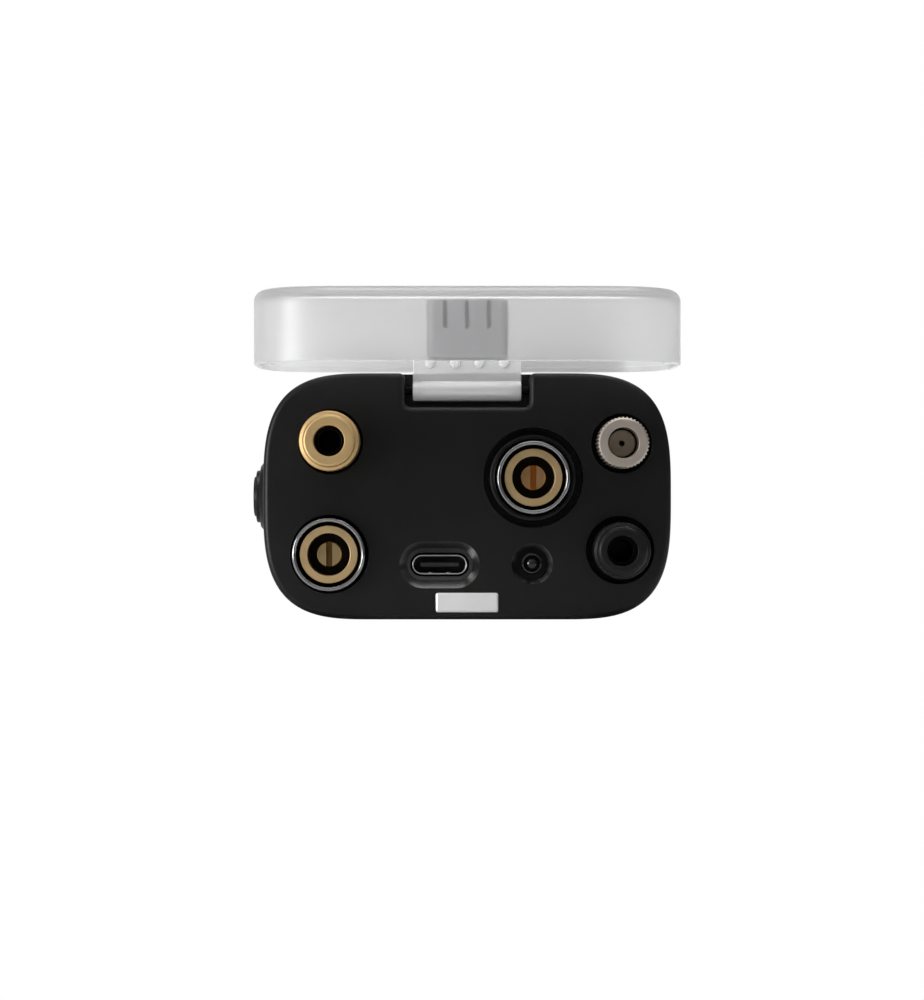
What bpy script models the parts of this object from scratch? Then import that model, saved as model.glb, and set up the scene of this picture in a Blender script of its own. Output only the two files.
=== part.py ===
"""Wireless bodypack transmitter with a hinged clear cap over its connector face.

Units are metres, +Z up. The pack lies on its broad bottom: the origin is the middle of that flat
face. The connectors look along -Y, the side button is on the -X side, and the cap stands open,
which is its rest position. Inner pieces are where they would be assembled.
"""

import math

import bmesh
import bpy
from mathutils import Matrix, Vector

# Body
BODY_WIDTH = 0.0656
BODY_HEIGHT = 0.0396
BODY_LENGTH = 0.0920
CORNER_REACH = 0.0179       # how far in from the side each corner starts to curve
CORNER_POWER = 3.27         # superellipse power of each corner
CORNER_STEPS = 9
BODY_WALL = 0.0020
FACE_THICKNESS = 0.0030
EDGE_RADIUS = 0.0010
GAP = 0.0003                # air left between pieces that touch on the real object
OVERRUN = 0.0010            # how far a cutter runs past what it cuts

# Rear cover, its seal and screws
COVER_THICKNESS = 0.0036
COVER_LIP_DEPTH = 0.0030
COVER_LIP_WALL = 0.0015
SEAL_THICKNESS = 0.0008
SEAL_INSET = 0.0005
COVER_SCREW_X_INSET = 0.0073
COVER_SCREW_Z_INSET = 0.0068
COVER_BOSS_RADIUS = 0.0032
COVER_BOSS_LENGTH = 0.0120
COVER_SCREW_HEAD_RADIUS = 0.0021
COVER_SCREW_HEAD_HEIGHT = 0.0013
COVER_SCREW_RADIUS = 0.0012
COVER_SCREW_LENGTH = 0.0110
COUNTERBORE_DEPTH = 0.0016
HEX_RECESS_RADIUS = 0.0011
HEX_RECESS_DEPTH = 0.0008
SCREW_FLAT_SHARE = 0.75     # flat middle of a screw head, as a share of its radius
SCREW_CROWN_SHARE = 0.35    # fall at the edge of a screw head, as a share of its height

# Hinge, in the notch in the top edge of the face
NOTCH_WIDTH = 0.0200
NOTCH_DROP = 0.00546        # from the top face down to the notch's floor
NOTCH_DEPTH = 0.0050        # from the connector face to the notch's back wall
HINGE_DROP = 0.0028         # from the top face down to the pin's axis
HINGE_DEPTH = 0.0027        # from the connector face back to the pin's axis
HINGE_CHEEK = 0.0035        # solid beside the notch, which holds the pin
HINGE_FLOOR = 0.0020
HINGE_BACK = 0.0025
PIN_RADIUS = 0.0007
PIN_GRIP = 0.0026           # length of pin in each cheek
PIN_CLEARANCE = 0.00015
BARREL_RADIUS = 0.00165
LEAF_SIDE_GAP = 0.00125     # air between the leaf and each side of the notch
LEAF_THICKNESS = 0.0014
LEAF_REACH = 0.0046         # how far the leaf runs in front of the connector face, cap closed
SLEEVE_RADIUS = 0.00115
SLEEVE_LENGTH = 0.0143
STAKE_SPACING = 0.00396
STAKE_COUNT = 4
STAKE_FORWARD = 0.0018      # stake centres, in front of the connector face, cap closed
STAKE_HEAD_RADIUS = 0.00085
STAKE_HEAD_HEIGHT = 0.00045
STAKE_FLAT_SHARE = 0.6      # flat middle of a stake's head, as a share of its radius
STAKE_CROWN_SHARE = 0.2     # fall at the edge of that flat, as a share of the head's height
STAKE_SHANK_RADIUS = 0.00040
STAKE_CLEARANCE = 0.00015

# Cap
CAP_DEPTH = 0.0112
CAP_WALL = 0.0015
CAP_EDGE_RADIUS = 0.0015
CAP_INNER_RADIUS = 0.0008
CAP_RIM_GAP = 0.0004        # between the rim and the face, cap closed
CAP_LIP_HEIGHT = 0.0008
CAP_LIP_WALL = 0.0008
CAP_OPEN_ANGLE = math.radians(90)

# Latch
LATCH_WIDTH = 0.0120
LATCH_THICKNESS = 0.0029
LATCH_SETBACK = 0.00025     # latch block behind the rim plane
LATCH_RIB_SPACING = 0.00326
LATCH_RIB_WIDTH = 0.0009
LATCH_RIB_DEPTH = 0.0005
LATCH_RIB_LENGTH = 0.0055
MAGNET_WIDTH = 0.0080
MAGNET_THICKNESS = 0.0013
MAGNET_LENGTH = 0.0030
STRIKE_WIDTH = 0.0100
STRIKE_HEIGHT = 0.0031
STRIKE_THICKNESS = 0.0007
STRIKE_PROUD = 0.0002
STRIKE_RISE = 0.00275       # from the bottom face up to the strike plate's middle

# Sockets: insets are from the body's sides, rows are above or below the middle
LEFT_JACK_INSET = 0.01087
LEFT_JACK_ROW = 0.00879
LEFT_COAX_INSET = 0.0107
LEFT_COAX_ROW = -0.00929
MIDDLE_COAX_INSET = 0.0222
MIDDLE_COAX_ROW = 0.0030
RING_INSET = 0.0080
RING_ROW = 0.00848
RIGHT_JACK_INSET = 0.00823
RIGHT_JACK_ROW = -0.00864
SOCKET_DEPTH = 0.0170       # how far the sockets reach behind the face
LOCKNUT_THICKNESS = 0.0024
LOCKNUT_RIM = 0.0010
LOCKNUT_SLOT_WIDTH = 0.0012
LOCKNUT_SLOT_DEPTH = 0.0008

JACK_COLLAR_RADIUS = 0.0048
BLACK_COLLAR_RADIUS = 0.0045
JACK_MOUTH_RADIUS = 0.00245
JACK_BORE_RADIUS = 0.0018
JACK_BORE_DEPTH = 0.0140
JACK_BARREL_RADIUS = 0.0034
JACK_LIP = 0.0030
JACK_PROUD = 0.0060
BLACK_JACK_PROUD = 0.0075
JACK_HOLE_GAP = 0.0004
BLACK_JACK_HOLE_GAP = 0.0009
JACK_CREST_INSET = 0.0011

COAX_SHELL_RADIUS = 0.00585
COAX_SHELL_WALL = 0.00065
COAX_PROUD = 0.0034
COAX_SHELL_LENGTH = 0.0110
COAX_RING_GAP = 0.00058     # between the shell and the gold ring
COAX_RING_WALL = 0.00122
COAX_RING_SETBACK = 0.0009
COAX_RING_LENGTH = 0.0050
COAX_PIN_RADIUS = 0.0020
COAX_PIN_SETBACK = 0.0029
COAX_SLOT_WIDTH = 0.00098
COAX_SLOT_DEPTH = 0.0028
COAX_TAIL_RADIUS = 0.0007
COAX_HOLE_GAP = 0.0004
WELL_BEZEL_WALL = 0.00094
WELL_GROOVE = 0.00088       # between the bezel and the edge of the well
WELL_BEZEL_SETBACK = 0.0007
WELL_FLANGE = 0.0012

RING_RADIUS = 0.00413
RING_TEETH = 40
RING_TOOTH_DEPTH = 0.00018
RING_BORE = 0.00245
RING_PROUD = 0.0060
RING_BEVEL = 0.0004
RING_HOLE_RADIUS = 0.0048
RING_HEAD_RADIUS = 0.0032
RING_HEAD_HEIGHT = 0.0009
RING_NECK_RADIUS = 0.00225
RING_LIP = 0.0011
RING_FLANGE_RADIUS = 0.0053
RING_PIN_HOLE = 0.0004

# USB-C receptacle
USB_INSET = 0.02839         # from the left side
USB_ROW = -0.0110
USB_WIDTH = 0.00894
USB_HEIGHT = 0.00326
USB_SHELL_WALL = 0.0003
USB_LENGTH = 0.0080
USB_SETBACK = 0.0018
USB_TONGUE_WIDTH = 0.0062
USB_TONGUE_THICKNESS = 0.0007
USB_BASE_LENGTH = 0.0014
USB_POCKET_WIDTH = 0.0107
USB_POCKET_HEIGHT = 0.0053
USB_POCKET_DEPTH = 0.0022
CHAMFER = 0.0011

# Status light
LIGHT_INSET = 0.02234       # from the right side
LIGHT_ROW = -0.01084
LIGHT_HOLE_RADIUS = 0.00263
LIGHT_CHAMFER = 0.0007
LIGHT_LENS_RADIUS = 0.00135
LIGHT_LENS_SETBACK = 0.0010
LIGHT_PIPE_RADIUS = 0.0009
LED_SIZE = 0.0016
LED_HEIGHT = 0.0006

# Side button
BUTTON_DEPTH = 0.0140       # from the connector face back to the button's axis
BUTTON_RADIUS = 0.0043
BUTTON_TIER_WIDTH = 0.0010
BUTTON_PROUD = 0.0023
BUTTON_TIER = 0.0004
BUTTON_TRAVEL = 0.0007
BUTTON_FLANGE_OVERLAP = 0.00035
BUTTON_FLANGE = 0.0005
BUTTON_CLEARANCE = 0.00035
BEZEL_WALL = 0.0005
BEZEL_FLANGE_WIDTH = 0.0006
BEZEL_PROUD = 0.0012
BEZEL_TAIL = 0.0013         # how far the bezel's barrel runs inside the wall
RETAINER_WIDTH = 0.0014
RETAINER_THICKNESS = 0.0006
SWITCH_SIZE = 0.0060
SWITCH_THICKNESS = 0.0029
PLUNGER_RADIUS = 0.0011
PLUNGER_LENGTH = 0.0026
BUTTON_BOARD_HALF = 0.0033
BUTTON_BOARD_THICKNESS = 0.0008

# Inside
CONNECTOR_BOARD_MARGIN = 0.0038
CONNECTOR_BOARD_THICKNESS = 0.0016
CHASSIS_MARGIN = 0.0038
CHASSIS_THICKNESS = 0.0015
CHASSIS_RAIL_HEIGHT = 0.0060
CHASSIS_BELOW_MIDDLE = 0.0010
CHASSIS_CLEARANCE = 0.0038  # ahead of the chassis, room for the battery leads
STANDOFF_RADIUS = 0.0022
STANDOFF_HEIGHT = 0.0030
STANDOFF_INSET = 0.0045
MAIN_BOARD_THICKNESS = 0.0013
BOARD_SCREW_HEAD_RADIUS = 0.0017
BOARD_SCREW_HEAD_HEIGHT = 0.0010
BOARD_SCREW_RADIUS = 0.0008
BOARD_SCREW_BITE = 0.0026
BATTERY_WIDTH = 0.0420
BATTERY_THICKNESS = 0.0140
BATTERY_EDGE = 0.0018
LEAD_RADIUS = 0.0008
SHIELD_WIDTH = 0.0260
SHIELD_LENGTH = 0.0200
SHIELD_HEIGHT = 0.0030
SHIELD_WALL = 0.0003
ANTENNA_WIDTH = 0.0400
ANTENNA_HEIGHT = 0.0070
ANTENNA_THICKNESS = 0.0006

# Worked out from the sizes above
MIDDLE = BODY_HEIGHT / 2
FACE_Y = -BODY_LENGTH / 2
REAR_Y = BODY_LENGTH / 2
COVER_Y = REAR_Y - COVER_THICKNESS
SEAM = SEAL_THICKNESS + 2 * (GAP / 3)
HOUSING_END_Y = COVER_Y - SEAM
BOARD_Y = FACE_Y + SOCKET_DEPTH + 2 * GAP
INNER_Y = BOARD_Y + CONNECTOR_BOARD_THICKNESS + CHASSIS_CLEARANCE
INNER_END_Y = HOUSING_END_Y - COVER_LIP_DEPTH - 2 * GAP
COAX_SHELL_BORE = COAX_SHELL_RADIUS - COAX_SHELL_WALL
COAX_RING_RADIUS = COAX_SHELL_BORE - COAX_RING_GAP
COAX_RING_BORE = COAX_RING_RADIUS - COAX_RING_WALL
WELL_BEZEL_RADIUS = COAX_SHELL_RADIUS + GAP + WELL_BEZEL_WALL
WELL_RADIUS = WELL_BEZEL_RADIUS + WELL_GROOVE
HINGE = Vector((0.0, FACE_Y + HINGE_DEPTH, BODY_HEIGHT - HINGE_DROP))

LARGE_ROUND = 30
ROUND = 24                  # sides of a middling round piece
SMALL_ROUND = 14
MERGE = 0.00001
FLAT_ANGLE = 0.1            # degrees; faces closer to flat than this are joined
SMOOTH_ANGLE = math.radians(35)

parts = None
cutters = None


def start_scene():
    """Empty the scene and make the two collections."""
    global parts, cutters
    for old in list(bpy.data.objects):
        bpy.data.objects.remove(old, do_unlink=True)
    parts = bpy.data.collections.new("bodypack_transmitter")
    cutters = bpy.data.collections.new("cutters")
    bpy.context.scene.collection.children.link(parts)
    bpy.context.scene.collection.children.link(cutters)


def finish(name, colour, roughness, metallic=0.0):
    """A material of one colour."""
    material = bpy.data.materials.get(name)
    if material is None:
        material = bpy.data.materials.new(name)
        material.use_nodes = True
        shader = material.node_tree.nodes["Principled BSDF"]
        shader.inputs["Base Color"].default_value = (*colour, 1.0)
        shader.inputs["Roughness"].default_value = roughness
        shader.inputs["Metallic"].default_value = metallic
    return material


def satin_black():
    return finish("satin_black", (0.012, 0.012, 0.013), 0.42)


def gloss_black():
    return finish("gloss_black", (0.008, 0.008, 0.009), 0.12)


def soft_black():
    return finish("soft_black", (0.010, 0.010, 0.010), 0.70)


def frosted():
    return finish("frosted_clear", (0.78, 0.78, 0.79), 0.45)


def latch_grey():
    return finish("latch_grey", (0.36, 0.36, 0.37), 0.50)


def brass():
    return finish("brass", (0.62, 0.45, 0.20), 0.32, 1.0)


def gold():
    return finish("gold", (0.72, 0.52, 0.26), 0.35, 1.0)


def chrome():
    return finish("chrome", (0.75, 0.76, 0.80), 0.10, 1.0)


def nickel():
    return finish("nickel", (0.66, 0.62, 0.56), 0.30, 1.0)


def steel():
    return finish("steel", (0.55, 0.56, 0.58), 0.30, 1.0)


def dielectric():
    return finish("dielectric", (0.12, 0.105, 0.08), 0.55)


def board_green():
    return finish("board_green", (0.02, 0.13, 0.06), 0.45)


def link(piece, material, parent=None):
    """Put a finished piece in the parts collection."""
    parts.objects.link(piece)
    piece.data.materials.clear()
    piece.data.materials.append(material)
    hang(piece, parent)
    return piece


def hang(piece, parent):
    """Parent a piece without moving it."""
    if parent is not None:
        piece.parent = parent
        piece.matrix_parent_inverse = Matrix.Translation(parent.location).inverted()


def tool(piece, parent=None):
    """Put a cutter in its own collection, out of the render."""
    cutters.objects.link(piece)
    piece.hide_render = True
    piece.display_type = "WIRE"
    hang(piece, parent)
    return piece


def combine(target, other, operation):
    """Add one Boolean step, exact solver."""
    step = target.modifiers.new(operation.lower() + "_" + other.name, "BOOLEAN")
    step.operation = operation
    step.solver = "EXACT"
    step.object = other


def cut(target, *others):
    for other in others:
        combine(target, other, "DIFFERENCE")


def join(target, *others):
    for other in others:
        combine(target, other, "UNION")


def new_object(name, shape):
    """An object from a bmesh."""
    mesh = bpy.data.meshes.new(name)
    shape.to_mesh(mesh)
    shape.free()
    return bpy.data.objects.new(name, mesh)


def block(name, low, high):
    """A box between two corners, its origin at its middle."""
    low = Vector(low)
    high = Vector(high)
    shape = bmesh.new()
    bmesh.ops.create_cube(shape, size=1.0)
    bmesh.ops.scale(shape, vec=high - low, verts=shape.verts)
    piece = new_object(name, shape)
    piece.location = (low + high) / 2
    return piece


def soften(piece, width, segments=2):
    """Round the sharp edges of a piece."""
    bevel = piece.modifiers.new("soften", "BEVEL")
    bevel.width = width
    bevel.segments = segments
    bevel.limit_method = "ANGLE"
    bevel.angle_limit = math.radians(40)
    return piece


def smooth(piece):
    """Smooth shading with sharp edges kept."""
    piece.data.shade_smooth()
    piece.data.set_sharp_from_angle(angle=SMOOTH_ANGLE)
    return piece


OUT_OF_FACE = Matrix.Rotation(math.radians(90), 4, "X")     # local +Z becomes world -Y
OUT_OF_SIDE = Matrix.Rotation(math.radians(-90), 4, "Y")    # local +Z becomes world -X
ALONG_WIDTH = Matrix.Rotation(math.radians(90), 4, "Y")     # local +Z becomes world +X
OUT_OF_REAR = Matrix.Rotation(math.radians(-90), 4, "X")    # local +Z becomes world +Y


def turned(name, profile, place, turn, sides=ROUND, closed=False):
    """A turned piece. The profile is (radius, height) points down its outer side."""
    mesh = bpy.data.meshes.new(name)
    shape = bmesh.new()
    points = [shape.verts.new((radius, 0.0, height)) for radius, height in profile]
    for first, second in zip(points, points[1:]):
        shape.edges.new((first, second))
    if closed:
        shape.edges.new((points[-1], points[0]))
    shape.to_mesh(mesh)
    shape.free()
    piece = bpy.data.objects.new(name, mesh)
    piece.matrix_world = Matrix.Translation(place) @ turn
    screw = piece.modifiers.new("turn", "SCREW")
    screw.axis = "Z"
    screw.steps = sides
    screw.render_steps = sides
    screw.use_merge_vertices = True
    screw.merge_threshold = MERGE
    screw.use_smooth_shade = True
    return piece


def rod(name, radius, bottom, top, place, turn, sides=SMALL_ROUND):
    """A plain round bar from one height to another."""
    profile = [(0.0, top), (radius, top), (radius, bottom), (0.0, bottom)]
    return turned(name, profile, place, turn, sides)


def tube(name, radius, bore, bottom, top, place, turn, sides=ROUND):
    """A plain ring from one height to another."""
    profile = [(radius, top), (radius, bottom), (bore, bottom), (bore, top)]
    return turned(name, profile, place, turn, sides, closed=True)


def arc(centre, radius, start, end, steps):
    """Points on an arc, from one angle to another in degrees."""
    points = []
    for step in range(steps + 1):
        angle = math.radians(start + (end - start) * step / steps)
        points.append((centre[0] + radius * math.cos(angle), centre[1] + radius * math.sin(angle)))
    return points


def body_outline(inset=0.0):
    """The body's cross-section as (x, z) points about its middle, set in along its normals."""
    flat_half = BODY_WIDTH / 2 - CORNER_REACH
    reach = CORNER_REACH
    rise = BODY_HEIGHT / 2
    quarter = []
    for step in range(CORNER_STEPS + 1):
        angle = math.radians(90) * step / CORNER_STEPS
        across = math.cos(angle)
        up = math.sin(angle)
        size = (across ** CORNER_POWER + up ** CORNER_POWER) ** (-1 / CORNER_POWER)
        across *= size
        up *= size
        normal = Vector((across ** (CORNER_POWER - 1) / reach, up ** (CORNER_POWER - 1) / rise))
        normal.normalize()
        quarter.append((flat_half + reach * across - inset * normal.x, rise * up - inset * normal.y))
    points = list(quarter)
    points += [(-x, z) for x, z in reversed(quarter)]
    points += [(-x, -z) for x, z in quarter[1:]]
    points += [(x, -z) for x, z in reversed(quarter[1:])]
    return points


def stadium(width, height, steps=8):
    """A slot shape with round ends, about its middle."""
    radius = height / 2
    run = width / 2 - radius
    return arc((run, 0.0), radius, -90, 90, steps) + arc((-run, 0.0), radius, 90, 270, steps)


def rounded_rectangle(width, height, radius, steps=3):
    """A rectangle with round corners, about its middle."""
    across = width / 2 - radius
    up = height / 2 - radius
    points = arc((across, up), radius, 0, 90, steps)
    points += arc((-across, up), radius, 90, 180, steps)
    points += arc((-across, -up), radius, 180, 270, steps)
    points += arc((across, -up), radius, 270, 360, steps)
    return points


def plate(name, points, front, back, centre=(0.0, 0.0), turn=OUT_OF_FACE):
    """A flat outline given thickness, from y = front to y = back, as a welded mesh."""
    curve = bpy.data.curves.new(name, "CURVE")
    curve.dimensions = "2D"
    curve.fill_mode = "BOTH"
    curve.extrude = (back - front) / 2
    spline = curve.splines.new("POLY")
    spline.points.add(len(points) - 1)
    for point, (across, up) in zip(spline.points, points):
        point.co = (across, up, 0.0, 1.0)
    spline.use_cyclic_u = True
    guide = bpy.data.objects.new(name + "_outline", curve)
    bpy.context.scene.collection.objects.link(guide)
    guide.matrix_world = Matrix.Translation((centre[0], (front + back) / 2, MIDDLE + centre[1])) @ turn
    return as_mesh(guide, name)


def as_mesh(guide, name):
    """Turn a curve object into a closed mesh object, and remove the curve."""
    bpy.context.view_layer.update()
    evaluated = guide.evaluated_get(bpy.context.evaluated_depsgraph_get())
    mesh = bpy.data.meshes.new_from_object(evaluated)
    shape = bmesh.new()
    shape.from_mesh(mesh)
    bmesh.ops.remove_doubles(shape, verts=shape.verts, dist=MERGE / 10)
    limit = math.radians(FLAT_ANGLE)
    bmesh.ops.dissolve_limit(shape, angle_limit=limit, verts=shape.verts, edges=shape.edges)
    bmesh.ops.recalc_face_normals(shape, faces=shape.faces)
    shape.to_mesh(mesh)
    shape.free()
    mesh.name = name
    piece = bpy.data.objects.new(name, mesh)
    piece.matrix_world = guide.matrix_world.copy()
    bpy.data.objects.remove(guide, do_unlink=True)
    return piece


def round_rim(piece, radius, segments, side):
    """Round the rim of a plate: side +1 is its local top, -1 its local bottom."""
    mesh = piece.data
    limit = max(vertex.co.z * side for vertex in mesh.vertices) - MERGE
    weights = mesh.attributes.new("bevel_weight_edge", "FLOAT", "EDGE")
    for edge in mesh.edges:
        on_rim = all(mesh.vertices[index].co.z * side > limit for index in edge.vertices)
        weights.data[edge.index].value = 1.0 if on_rim else 0.0
    bevel = piece.modifiers.new("rim", "BEVEL")
    bevel.width = radius
    bevel.segments = segments
    bevel.limit_method = "WEIGHT"
    return piece


# Places on the face
LEFT_SIDE = -BODY_WIDTH / 2
RIGHT_SIDE = BODY_WIDTH / 2


def on_face(x, row):
    return Vector((x, FACE_Y, MIDDLE + row))


LEFT_JACK = on_face(LEFT_SIDE + LEFT_JACK_INSET, LEFT_JACK_ROW)
LEFT_COAX = on_face(LEFT_SIDE + LEFT_COAX_INSET, LEFT_COAX_ROW)
MIDDLE_COAX = on_face(RIGHT_SIDE - MIDDLE_COAX_INSET, MIDDLE_COAX_ROW)
RING_PLACE = on_face(RIGHT_SIDE - RING_INSET, RING_ROW)
RIGHT_JACK = on_face(RIGHT_SIDE - RIGHT_JACK_INSET, RIGHT_JACK_ROW)
USB_PLACE = on_face(LEFT_SIDE + USB_INSET, USB_ROW)
LIGHT_PLACE = on_face(RIGHT_SIDE - LIGHT_INSET, LIGHT_ROW)
STRIKE_PLACE = on_face(0.0, STRIKE_RISE - MIDDLE)
BUTTON_PLACE = Vector((LEFT_SIDE, FACE_Y + BUTTON_DEPTH, MIDDLE))


def cover_screw_places():
    """The four screws in the corners of the rear cover."""
    across = BODY_WIDTH / 2 - COVER_SCREW_X_INSET
    rise = BODY_HEIGHT / 2 - COVER_SCREW_Z_INSET
    return [Vector((side * across, 0.0, MIDDLE + up * rise)) for side in (-1, 1) for up in (-1, 1)]


def round_hole(name, place, radius, sides=ROUND):
    """A cutter for a round hole right through the face."""
    return tool(rod(name, radius, -FACE_THICKNESS - OVERRUN, OVERRUN, place, OUT_OF_FACE, sides))


def housing_cavity():
    """The hollow in the housing, less the solid round the hinge and the screw bosses."""
    cavity = tool(plate("cavity", body_outline(BODY_WALL), FACE_Y + FACE_THICKNESS, HOUSING_END_Y + OVERRUN))
    half = NOTCH_WIDTH / 2 + HINGE_CHEEK
    low = (-half, FACE_Y, BODY_HEIGHT - NOTCH_DROP - HINGE_FLOOR)
    high = (half, FACE_Y + NOTCH_DEPTH + HINGE_BACK, BODY_HEIGHT)
    cut(cavity, tool(block("hinge_solid", low, high)))
    boss_end = HOUSING_END_Y - COVER_LIP_DEPTH - GAP
    for number, place in enumerate(cover_screw_places()):
        base = Vector((place.x, boss_end, place.z))
        boss = rod(f"boss_{number}", COVER_BOSS_RADIUS, -COVER_BOSS_LENGTH, 0.0, base, OUT_OF_REAR)
        cut(cavity, tool(boss))
    return cavity


def usb_pocket():
    """The chamfered pocket round the USB-C shell."""
    pocket = tool(plate("usb_pocket", stadium(USB_POCKET_WIDTH, USB_POCKET_HEIGHT),
                        FACE_Y - OVERRUN, FACE_Y + USB_POCKET_DEPTH, (USB_PLACE.x, USB_ROW)))
    mouth = bmesh.new()
    straight = USB_POCKET_WIDTH - USB_POCKET_HEIGHT
    bmesh.ops.create_cone(mouth, cap_ends=True, segments=ROUND,
                          radius1=USB_POCKET_HEIGHT / 2 - GAP, radius2=USB_POCKET_HEIGHT / 2 + 2 * CHAMFER,
                          depth=2 * CHAMFER + GAP)
    bmesh.ops.translate(mouth, vec=(0.0, 0.0, -GAP / 2), verts=mouth.verts)
    for vertex in mouth.verts:
        vertex.co.x += math.copysign(straight / 2, vertex.co.x) if abs(vertex.co.x) > MERGE else 0.0
    flare = new_object("usb_chamfer", mouth)
    flare.matrix_world = Matrix.Translation(USB_PLACE) @ OUT_OF_FACE
    slot = stadium(USB_WIDTH + 2 * GAP, USB_HEIGHT + 2 * GAP)
    through = plate("usb_through", slot, FACE_Y + USB_POCKET_DEPTH - GAP, FACE_Y + FACE_THICKNESS + OVERRUN,
                    (USB_PLACE.x, USB_ROW))
    return [pocket, tool(flare), tool(through)]


def light_recess():
    """The chamfered hole for the status light."""
    wide = LIGHT_HOLE_RADIUS + LIGHT_CHAMFER + OVERRUN
    profile = [(0.0, OVERRUN), (wide, OVERRUN), (LIGHT_HOLE_RADIUS, -LIGHT_CHAMFER),
               (LIGHT_HOLE_RADIUS, -FACE_THICKNESS - OVERRUN), (0.0, -FACE_THICKNESS - OVERRUN)]
    return tool(turned("light_recess", profile, LIGHT_PLACE, OUT_OF_FACE, ROUND))


def hinge_notch():
    """The notch for the barrel, and the blind hole for the pin."""
    half = NOTCH_WIDTH / 2
    low = (-half, FACE_Y - OVERRUN, BODY_HEIGHT - NOTCH_DROP)
    high = (half, FACE_Y + NOTCH_DEPTH, BODY_HEIGHT + OVERRUN)
    notch = tool(block("notch", low, high))
    reach = half + PIN_GRIP + GAP
    pin_hole = tool(rod("pin_hole", PIN_RADIUS + PIN_CLEARANCE, -reach, half + HINGE_CHEEK + OVERRUN,
                        HINGE, ALONG_WIDTH, SMALL_ROUND))
    return [notch, pin_hole]


def main_housing():
    """The moulded box: connector face, sides and hinge cheeks in one, open at the rear."""
    housing = link(plate("main_housing", body_outline(), FACE_Y, HOUSING_END_Y), satin_black())
    round_rim(housing, EDGE_RADIUS, 3, +1)
    cut(housing, housing_cavity(), *hinge_notch())
    cut(housing, round_hole("left_jack_hole", LEFT_JACK, JACK_COLLAR_RADIUS + JACK_HOLE_GAP))
    cut(housing, round_hole("left_coax_hole", LEFT_COAX, COAX_SHELL_RADIUS + COAX_HOLE_GAP))
    cut(housing, round_hole("well_hole", MIDDLE_COAX, WELL_RADIUS, LARGE_ROUND))
    cut(housing, round_hole("ring_hole", RING_PLACE, RING_HOLE_RADIUS))
    cut(housing, round_hole("right_jack_hole", RIGHT_JACK, BLACK_COLLAR_RADIUS + BLACK_JACK_HOLE_GAP))
    cut(housing, *usb_pocket())
    cut(housing, light_recess())
    pocket = rounded_rectangle(STRIKE_WIDTH + GAP, STRIKE_HEIGHT + GAP, 1.5 * GAP)
    pocket_floor = FACE_Y - STRIKE_PROUD + STRIKE_THICKNESS + GAP
    cut(housing, tool(plate("strike_pocket", pocket, FACE_Y - OVERRUN, pocket_floor,
                            (0.0, STRIKE_PLACE.z - MIDDLE))))
    hole = bezel_barrel_radius() + GAP
    cut(housing, tool(rod("button_hole", hole, -BODY_WALL - OVERRUN, OVERRUN, BUTTON_PLACE, OUT_OF_SIDE)))
    boss_end = HOUSING_END_Y - COVER_LIP_DEPTH - GAP
    for number, place in enumerate(cover_screw_places()):
        base = Vector((place.x, boss_end, place.z))
        cut(housing, tool(rod(f"boss_hole_{number}", COVER_SCREW_RADIUS + GAP, -COVER_BOSS_LENGTH + OVERRUN,
                              OVERRUN, base, OUT_OF_REAR)))
    return housing


def rear_cover():
    """The end cover, with a lip that goes inside the housing."""
    cover = link(plate("rear_cover", body_outline(), COVER_Y, REAR_Y), satin_black())
    round_rim(cover, EDGE_RADIUS, 2, -1)
    lip_front = HOUSING_END_Y - COVER_LIP_DEPTH
    lip_inset = BODY_WALL + GAP
    lip = tool(plate("cover_lip", body_outline(lip_inset), lip_front, COVER_Y + OVERRUN))
    cut(lip, tool(plate("cover_lip_hollow", body_outline(lip_inset + COVER_LIP_WALL),
                        lip_front - OVERRUN, COVER_Y)))
    join(cover, lip)
    for number, place in enumerate(cover_screw_places()):
        base = Vector((place.x, REAR_Y, place.z))
        bore = COVER_SCREW_HEAD_RADIUS + GAP
        shank = COVER_SCREW_RADIUS + GAP
        end = -COVER_THICKNESS - COVER_LIP_DEPTH - SEAM - OVERRUN
        profile = [(0.0, OVERRUN), (bore, OVERRUN), (bore, -COUNTERBORE_DEPTH - GAP),
                   (shank, -COUNTERBORE_DEPTH - GAP), (shank, end), (0.0, end)]
        cut(cover, tool(turned(f"cover_hole_{number}", profile, base, OUT_OF_REAR, SMALL_ROUND)))
    return cover


def rear_seal():
    """The flat rubber ring in the seam between the housing and the rear cover."""
    front = HOUSING_END_Y + GAP / 3
    back = COVER_Y - GAP / 3
    seal = link(plate("rear_seal", body_outline(SEAL_INSET), front, back), soft_black())
    cut(seal, tool(plate("seal_hollow", body_outline(BODY_WALL), front - OVERRUN, back + OVERRUN)))


def screw_solid(name, place, turn, head_radius, head_height, radius, length, hex_radius, hex_depth):
    """A screw with a domed head at height 0 and a hexagon recess."""
    crown = head_height * SCREW_CROWN_SHARE
    profile = [(0.0, 0.0), (head_radius * SCREW_FLAT_SHARE, 0.0), (head_radius, -crown),
               (head_radius, -head_height), (radius, -head_height), (radius, -length), (0.0, -length)]
    screw = turned(name, profile, place, turn, SMALL_ROUND)
    recess = tool(rod(name + "_recess", hex_radius, -hex_depth, OVERRUN, place, turn, 6))
    cut(screw, recess)
    return screw


def rear_cover_screws():
    for number, place in enumerate(cover_screw_places()):
        base = Vector((place.x, REAR_Y - COUNTERBORE_DEPTH + COVER_SCREW_HEAD_HEIGHT, place.z))
        screw = screw_solid(f"cover_screw_{number + 1}", base, OUT_OF_REAR, COVER_SCREW_HEAD_RADIUS,
                            COVER_SCREW_HEAD_HEIGHT, COVER_SCREW_RADIUS, COVER_SCREW_LENGTH,
                            HEX_RECESS_RADIUS, HEX_RECESS_DEPTH)
        link(screw, steel())


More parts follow.
